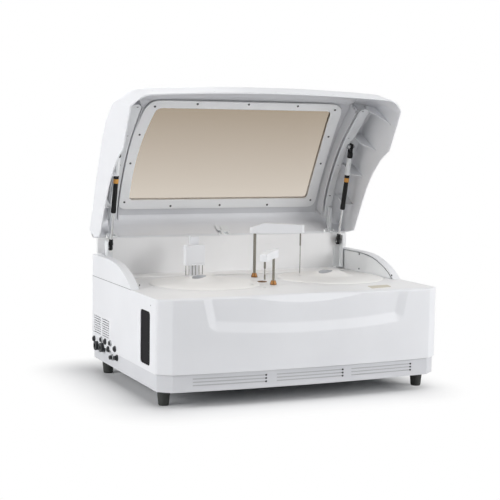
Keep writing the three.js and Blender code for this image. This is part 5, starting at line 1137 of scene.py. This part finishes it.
def cover_points(centre, rows=110, sides=200):
    """z = dome(r), or the scoop's ball where that is lower. r is eased towards the rim."""
    share = np.linspace(0.004, 1, rows)
    radius = COVER_RADIUS * (share + 0.25 * share * (1 - share))
    angle = np.arange(sides) * 2 * math.pi / sides
    r, a = np.meshgrid(radius, angle, indexing="ij")
    x, y = r * np.cos(a), r * np.sin(a)
    z = np.interp(r, *curve_through(DOME, 260).T)
    across = np.clip(SCOOP_RADIUS**2 - (x - SCOOP[0]) ** 2 - (y - SCOOP[1]) ** 2, 0, None)
    ball = np.where(across > 0, SCOOP[2] - np.sqrt(across), 99)
    z = soft_least(z, ball, 0.8)
    top = np.stack([x, y, z + COVER_FOOT], -1)
    under = np.stack([x, y, np.clip(z - COVER_WALL, 0, None) + COVER_FOOT], -1)[::-1]
    return np.concatenate([top, under]) + (*centre, 0)


# %% Holes through a piece
def pierced(piece, outlines):
    """Cuts holes of those outlines through a piece by a boolean that is applied here."""
    posts = [(np.concatenate([stand(outline, 290, "z"), stand(outline, 340, "z")]),
              capped_faces(2, len(outline))) for outline in outlines]
    points, faces = joined(posts)
    tool = mesh_from("punch", to_model(points), faces, False)
    turn_outwards(tool)
    punch = piece.modifiers.new("holes", "BOOLEAN")
    punch.operation, punch.object, punch.solver = "DIFFERENCE", tool, "EXACT"
    bpy.context.view_layer.update()
    cut = piece.evaluated_get(bpy.context.evaluated_depsgraph_get())
    mesh = bpy.data.meshes.new_from_object(cut)
    piece.modifiers.clear()
    piece.data = mesh
    bpy.data.objects.remove(tool)


# %% A cover with its scoop, and the outlines of its holes
def cover_piece(name, node, centre, body, holes):
    """The cover with shade painted into its scoop, and with holes of those outlines."""
    grid = cover_points(centre)
    points, faces = to_model(grid.reshape(-1, 3)), capped_faces(*grid.shape[:2])
    piece = finish_piece(name, points, faces, "cream", body, even=False)
    # the faces inside the scoop get the darker grey, which is painted shade
    piece.data.materials.append(finish["scoop"])
    middles = np.empty(len(piece.data.polygons) * 3)
    piece.data.polygons.foreach_get("center", middles)
    away = middles.reshape(-1, 3) - to_model(SCOOP + (*centre, COVER_FOOT))
    painted_shade_faces = np.linalg.norm(away, axis=1) / MM < SCOOP_RADIUS + 0.7
    piece.data.polygons.foreach_set("material_index", painted_shade_faces.astype(np.int32))
    pierced(piece, holes)
    even_normals(piece)
    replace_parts(piece, node)


def arc_points(centre, radius, count, start, end):
    """Points on a circle round centre from one angle to another, both included."""
    angle = np.linspace(start, end, count)
    return np.stack([centre[0] + radius * np.cos(angle), centre[1] + radius * np.sin(angle)], 1)


def needle_hole(x, y, radius=8, count=24):
    """A round outline, for a needle or the paddle to pass through."""
    return arc_points((x, y), radius, count + 1, 0, 2 * math.pi)[:-1]


# %% The two covers: a slot for the wash needles, and round holes for the probe and the paddle
REACTION, REAGENT = (-184.008, 22.01), (244.992, 40.03)
FIRST_POCKET, POCKETS, SLOT_POCKETS = -0.15815, 44, np.array([9.4, 12.6])
SLOT_OUTER, SLOT_INNER = 154, 140
slot_ends = FIRST_POCKET + SLOT_POCKETS * 2 * math.pi / POCKETS
wash_slot = np.concatenate([arc_points(REACTION, SLOT_OUTER, 14, *slot_ends),
                            arc_points(REACTION, SLOT_INNER, 14, *slot_ends[::-1])])
cover_piece("reaction_lid", "reaction_cover", REACTION, "reaction_cover_body",
            [wash_slot, needle_hole(-38.84, -1.14), needle_hole(-74.31, -75.84)])
cover_piece("reagent_lid", "reagent_cover", REAGENT, "reagent_cover_body",
            [needle_hole(148.02, 57.99)])
print("covers made")

# %% [markdown]
# ## Hinge arms
#
# On each side a folded steel arm carries the lid. Its face is a flat strip that follows the liner's
# lower edge, grows wider towards the front and ends in a half circle. Its web stands up along the
# outer side, and a tongue at the rear ends in the hinge knuckle. The strip and the web are sheets
# carried along one curve. The knuckle is a turned ring, because a pin runs through it.

# %% Curves and profiles of the lid arms
ARM_INNER, ARM_OUTER, ARM_WIDER, WEB_X = 362.1, 386.5, 10.5, 386.3
TONGUE = [(240, 452.5), (305, 421.5), (314.5, 430.5), (281, 466), (246, 466)]
KNUCKLE = [(2.9, -7.6), (5.2, -7.6), (6, -6.8), (6, 6.8), (5.2, 7.6), (2.9, 7.6)]
STUD = np.array([(0, 381), (8, 381), (8, 386.5), (7.2, 387.2), (2.6, 387.4), (2.6, 402),
                 (4.2, 402.4), (4.2, 404), (3.4, 405), (0, 405)])
STUD_PLACE = (0, 11.7, 456.2)
arm_path = curve_through(ARM, 70)
arm_path = np.concatenate([arm_path[:1] + (-12, -7.3), arm_path[:1] + (-6, -3.5), arm_path])
arm_run = np.append(0, np.cumsum(np.linalg.norm(np.diff(arm_path, axis=0), axis=1)))
arm_up = unit(quarter_turn(np.gradient(arm_path, axis=0)))
outer_edge = ARM_OUTER + ARM_WIDER * smooth_step((-4 - arm_path[:, 0]) / 26)
half_width, middle = (outer_edge - ARM_INNER) / 2, (outer_edge + ARM_INNER) / 2
half_width *= np.sqrt(np.clip(1 - np.clip(1 - arm_run / half_width, 0, None) ** 2, 0.012, None))
web_points = arm_path[6:, None] + arm_up[6:, None] * np.linspace(0.5, 12, 5)[None, :, None]
screw_y = np.array([-142, -24, 92, 208])
screw_z = np.interp(screw_y, *arm_path.T) - 0.2
print("arm length:", round(float(arm_run[-1]), 1))

# %% Lid arms, left and right
for side, label in SIDES:
    x = side * (middle[:, None] + half_width[:, None] * np.linspace(-1, 1, 9))
    yz = np.broadcast_to(arm_path[:, None], x.shape + (2,))
    strip = np.concatenate([x[..., None], yz], -1)
    points, faces = thick_sheet(strip if side < 0 else strip[:, ::-1], -2.5)
    face_piece = finish_piece(f"arm_face_{label}", open_lid(points), faces, "arm", "lid")
    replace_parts(face_piece, f"lid_arm_{label}")
    x = np.full(web_points.shape[:2] + (1,), side * WEB_X)
    points, faces = thick_sheet(np.concatenate([x, web_points], -1), 2.3 * side)
    finish_piece(f"arm_web_{label}", open_lid(points), faces, "arm", "lid")
    soft_plate(f"arm_tongue_{label}", corner_arcs(TONGUE, 4), side * HINGE_X - 5,
               side * HINGE_X + 5, "x", "arm", "lid", edge=0.8, steps=3, place=open_lid)
    turned_piece(f"arm_knuckle_{label}", KNUCKLE, (side * HINGE_X, HALF_DEPTH, HINGE), "arm",
                 "lid", place=open_lid)
    turned_piece(f"arm_stud_{label}", STUD * (1, side), STUD_PLACE, "zinc", "lid", 20, open_lid)
    centres = np.stack([np.full(4, side * 374.0), screw_y, screw_z], 1)
    screws(f"arm_screws_{label}", centres, (0, 0.16, -1), 4.6, 2.2, "dark", "lid", open_lid)
print("lid arms made")

# %% [markdown]
# ## Gas struts
#
# A gas strut is bought in: a black painted cylinder, a ground rod, and a moulded socket at each end
# that snaps on a stud. The cylinder, rod and hooks are solids already. What they lack is the dress
# of the real thing: the socket's collar, a pale sleeve with its band, an amber label, and the lower
# socket. Each is one turned profile on the strut's own axis, and rides on the cylinder or the rod.

# %% Sleeves, labels and sockets of the struts
STRUT_TOP, STRUT_LOW, STRUT_X = np.array([197.0, 704.0]), np.array([276.0, 388.0]), 394.5
STRUT_PROFILES = {  # piece: finish, then radius and distance from the upper or lower pivot
    "collar": ("black", [(7.4, 20), (8.2, 20.5), (8.9, 23), (8.9, 35), (8.1, 37.5), (7.4, 38)]),
    "sleeve": ("paint", [(7.4, 38), (7.9, 38.4), (7.9, 95.6), (7.4, 96)]),
    "band": ("black", [(7.4, 95), (8.3, 95.4), (8.3, 105), (7.4, 105.4)]),
    "label": ("amber", [(7.4, 105), (8.0, 105.1), (8.0, 118.9), (7.4, 119)]),
    "end": ("black", [(3.8, 196), (6.6, 196.4), (8, 199), (8, 211), (6.8, 213.4), (4.3, 213.8)]),
    "socket": ("black", [(4.0, 8), (7.6, 8), (7.8, 12), (6.4, 19), (6.2, 26), (4.1, 27)]),
}
BALL = np.array([(0, -5.2), (7.6, -5.2), (9.2, -3.6), (9.2, 3.6), (7.6, 5.2), (0, 5.2)])
strut_way = unit(STRUT_LOW - STRUT_TOP)


def strut_points(profile, side, origin, way):
    """A profile turned about the strut's axis, with its distances counted from origin."""
    around, across, along = turned_points(profile, 24).T
    yz = origin + way * along[:, None] + quarter_turn(way) * across[:, None]
    return np.column_stack([side * STRUT_X + around, yz])


for side, label in SIDES:
    tube, rod = f"strut_tube_{label}_body", f"strut_rod_{label}_body"
    for part, (look, profile) in STRUT_PROFILES.items():
        low = part == "socket"
        origin, way = (STRUT_LOW, -strut_way) if low else (STRUT_TOP, strut_way)
        faces = grid_faces(len(profile), 24, wrap_rows=True, wrap_columns=True)
        finish_piece(f"strut_{part}_{label}", to_model(strut_points(profile, side, origin, way)),
                     faces, look, rod if low else tube)
    turned_piece(f"strut_ball_{label}", BALL + (0, side * STRUT_X), (0, *STRUT_LOW), "black", rod)
    foot = [(side * x, 287.2, z) for x, z in ((388, 325), (405, 306), (389, 306))]
    screws(f"bracket_screws_{label}", foot, (0, -1, 0), 2.8, 1.6, "screw", "base")
print("struts dressed")

# %% [markdown]
# ## Small fittings
#
# Screws, caps and seams tell how the machine comes apart. Along each wing's seam a dark bead paints
# the seam's shade, the plates on their inner faces are held by three screws each and edged by a dark
# line, and the fluid ports on the left side sit in collars.

# %% Seams and plates of the wings
PLATE_FOOT, PLATE_REAR, PLATE_GAP = 299.6, 287, 4.3
PLATE_SCREWS = ((159.5, 357), (160, 309), (-50, 311))
SEAM_SHADE_X = {"left": -439.75, "right": 439.2}
edge = np.concatenate([curve_through(WING, 60), [(286, 366)]])
edge = edge - quarter_turn(unit(np.gradient(edge, axis=0))) * PLATE_GAP
edge = edge[(edge[:, 1] > PLATE_FOOT) & (edge[:, 0] < PLATE_REAR)]
seam_y = np.linspace(-57, 311, 30)
for side, label in SIDES:
    seam = [(SEAM_SHADE_X[label], y, DECK + 0.15) for y in seam_y]
    # a thin dark bead along the seam: painted shade of the gap between wing and side panel
    round_bar(f"wing_seam_shade_{label}", seam, 0.75, "seam_shade", "base")
    rim = np.concatenate([np.full((len(edge), 1), side * 414.0), edge], 1)
    # a dark line along each plate's edge, in the same grey
    round_bar(f"wing_plate_rim_{label}", rim, 0.9, "seam_shade", "base")
    screws(f"wing_plate_screws_{label}", [(side * 413.1, y, z) for y, z in PLATE_SCREWS],
           (-side, 0, 0), 3.0, 1.6, "screw", "base")
print("wing seams made")

# %% Caps, the plate on the deck and the port collars
caps = [(x, front_bow(x) + 6.6, 316) for x in (-186, 8, 200)]
screws("lip_caps", caps, (0, 1, 0.1), 4.4, 1.6, "groove", "lid", open_lid)
plate = corner_arcs([(240.3, -233), (314.7, -217.3), (327.7, -171.3), (253.4, -181.5)], 5)
soft_plate("deck_badge", plate, DECK - 0.1, DECK + 0.8, "z", "beige", "base", edge=0.3)
PANEL_X, SKIRT_X, PALE_COLLARS = -439.4, -434.6, (1, 3, 6)
COLLAR = np.array([(6.3, 0), (9.4, 0), (9.4, -3.2), (8.6, -4.2), (6.3, -4.2)])
small_ports = np.array([(0.93, 1.13), (0.70, 1.22), (0.578, 1.22), (0.42, 1.25), (0.48, 1.02),
                        (0.279, 1.14), (0.40, 0.80), (0.262, 0.86)]) * (HALF_DEPTH, SEAM)
for number, (y, z) in enumerate(small_ports):
    centre = (PANEL_X if z > SEAM else SKIRT_X, y, z)
    look = "zinc" if number in PALE_COLLARS else "dark"
    turned_piece(f"port_collar_{number + 1}", COLLAR, centre, look, "base", 20)
screws("side_screw", [(-439.8, -221, 277)], (-1, 0, 0), 2.2, 0.9, "zinc", "base")
print("small fittings made")
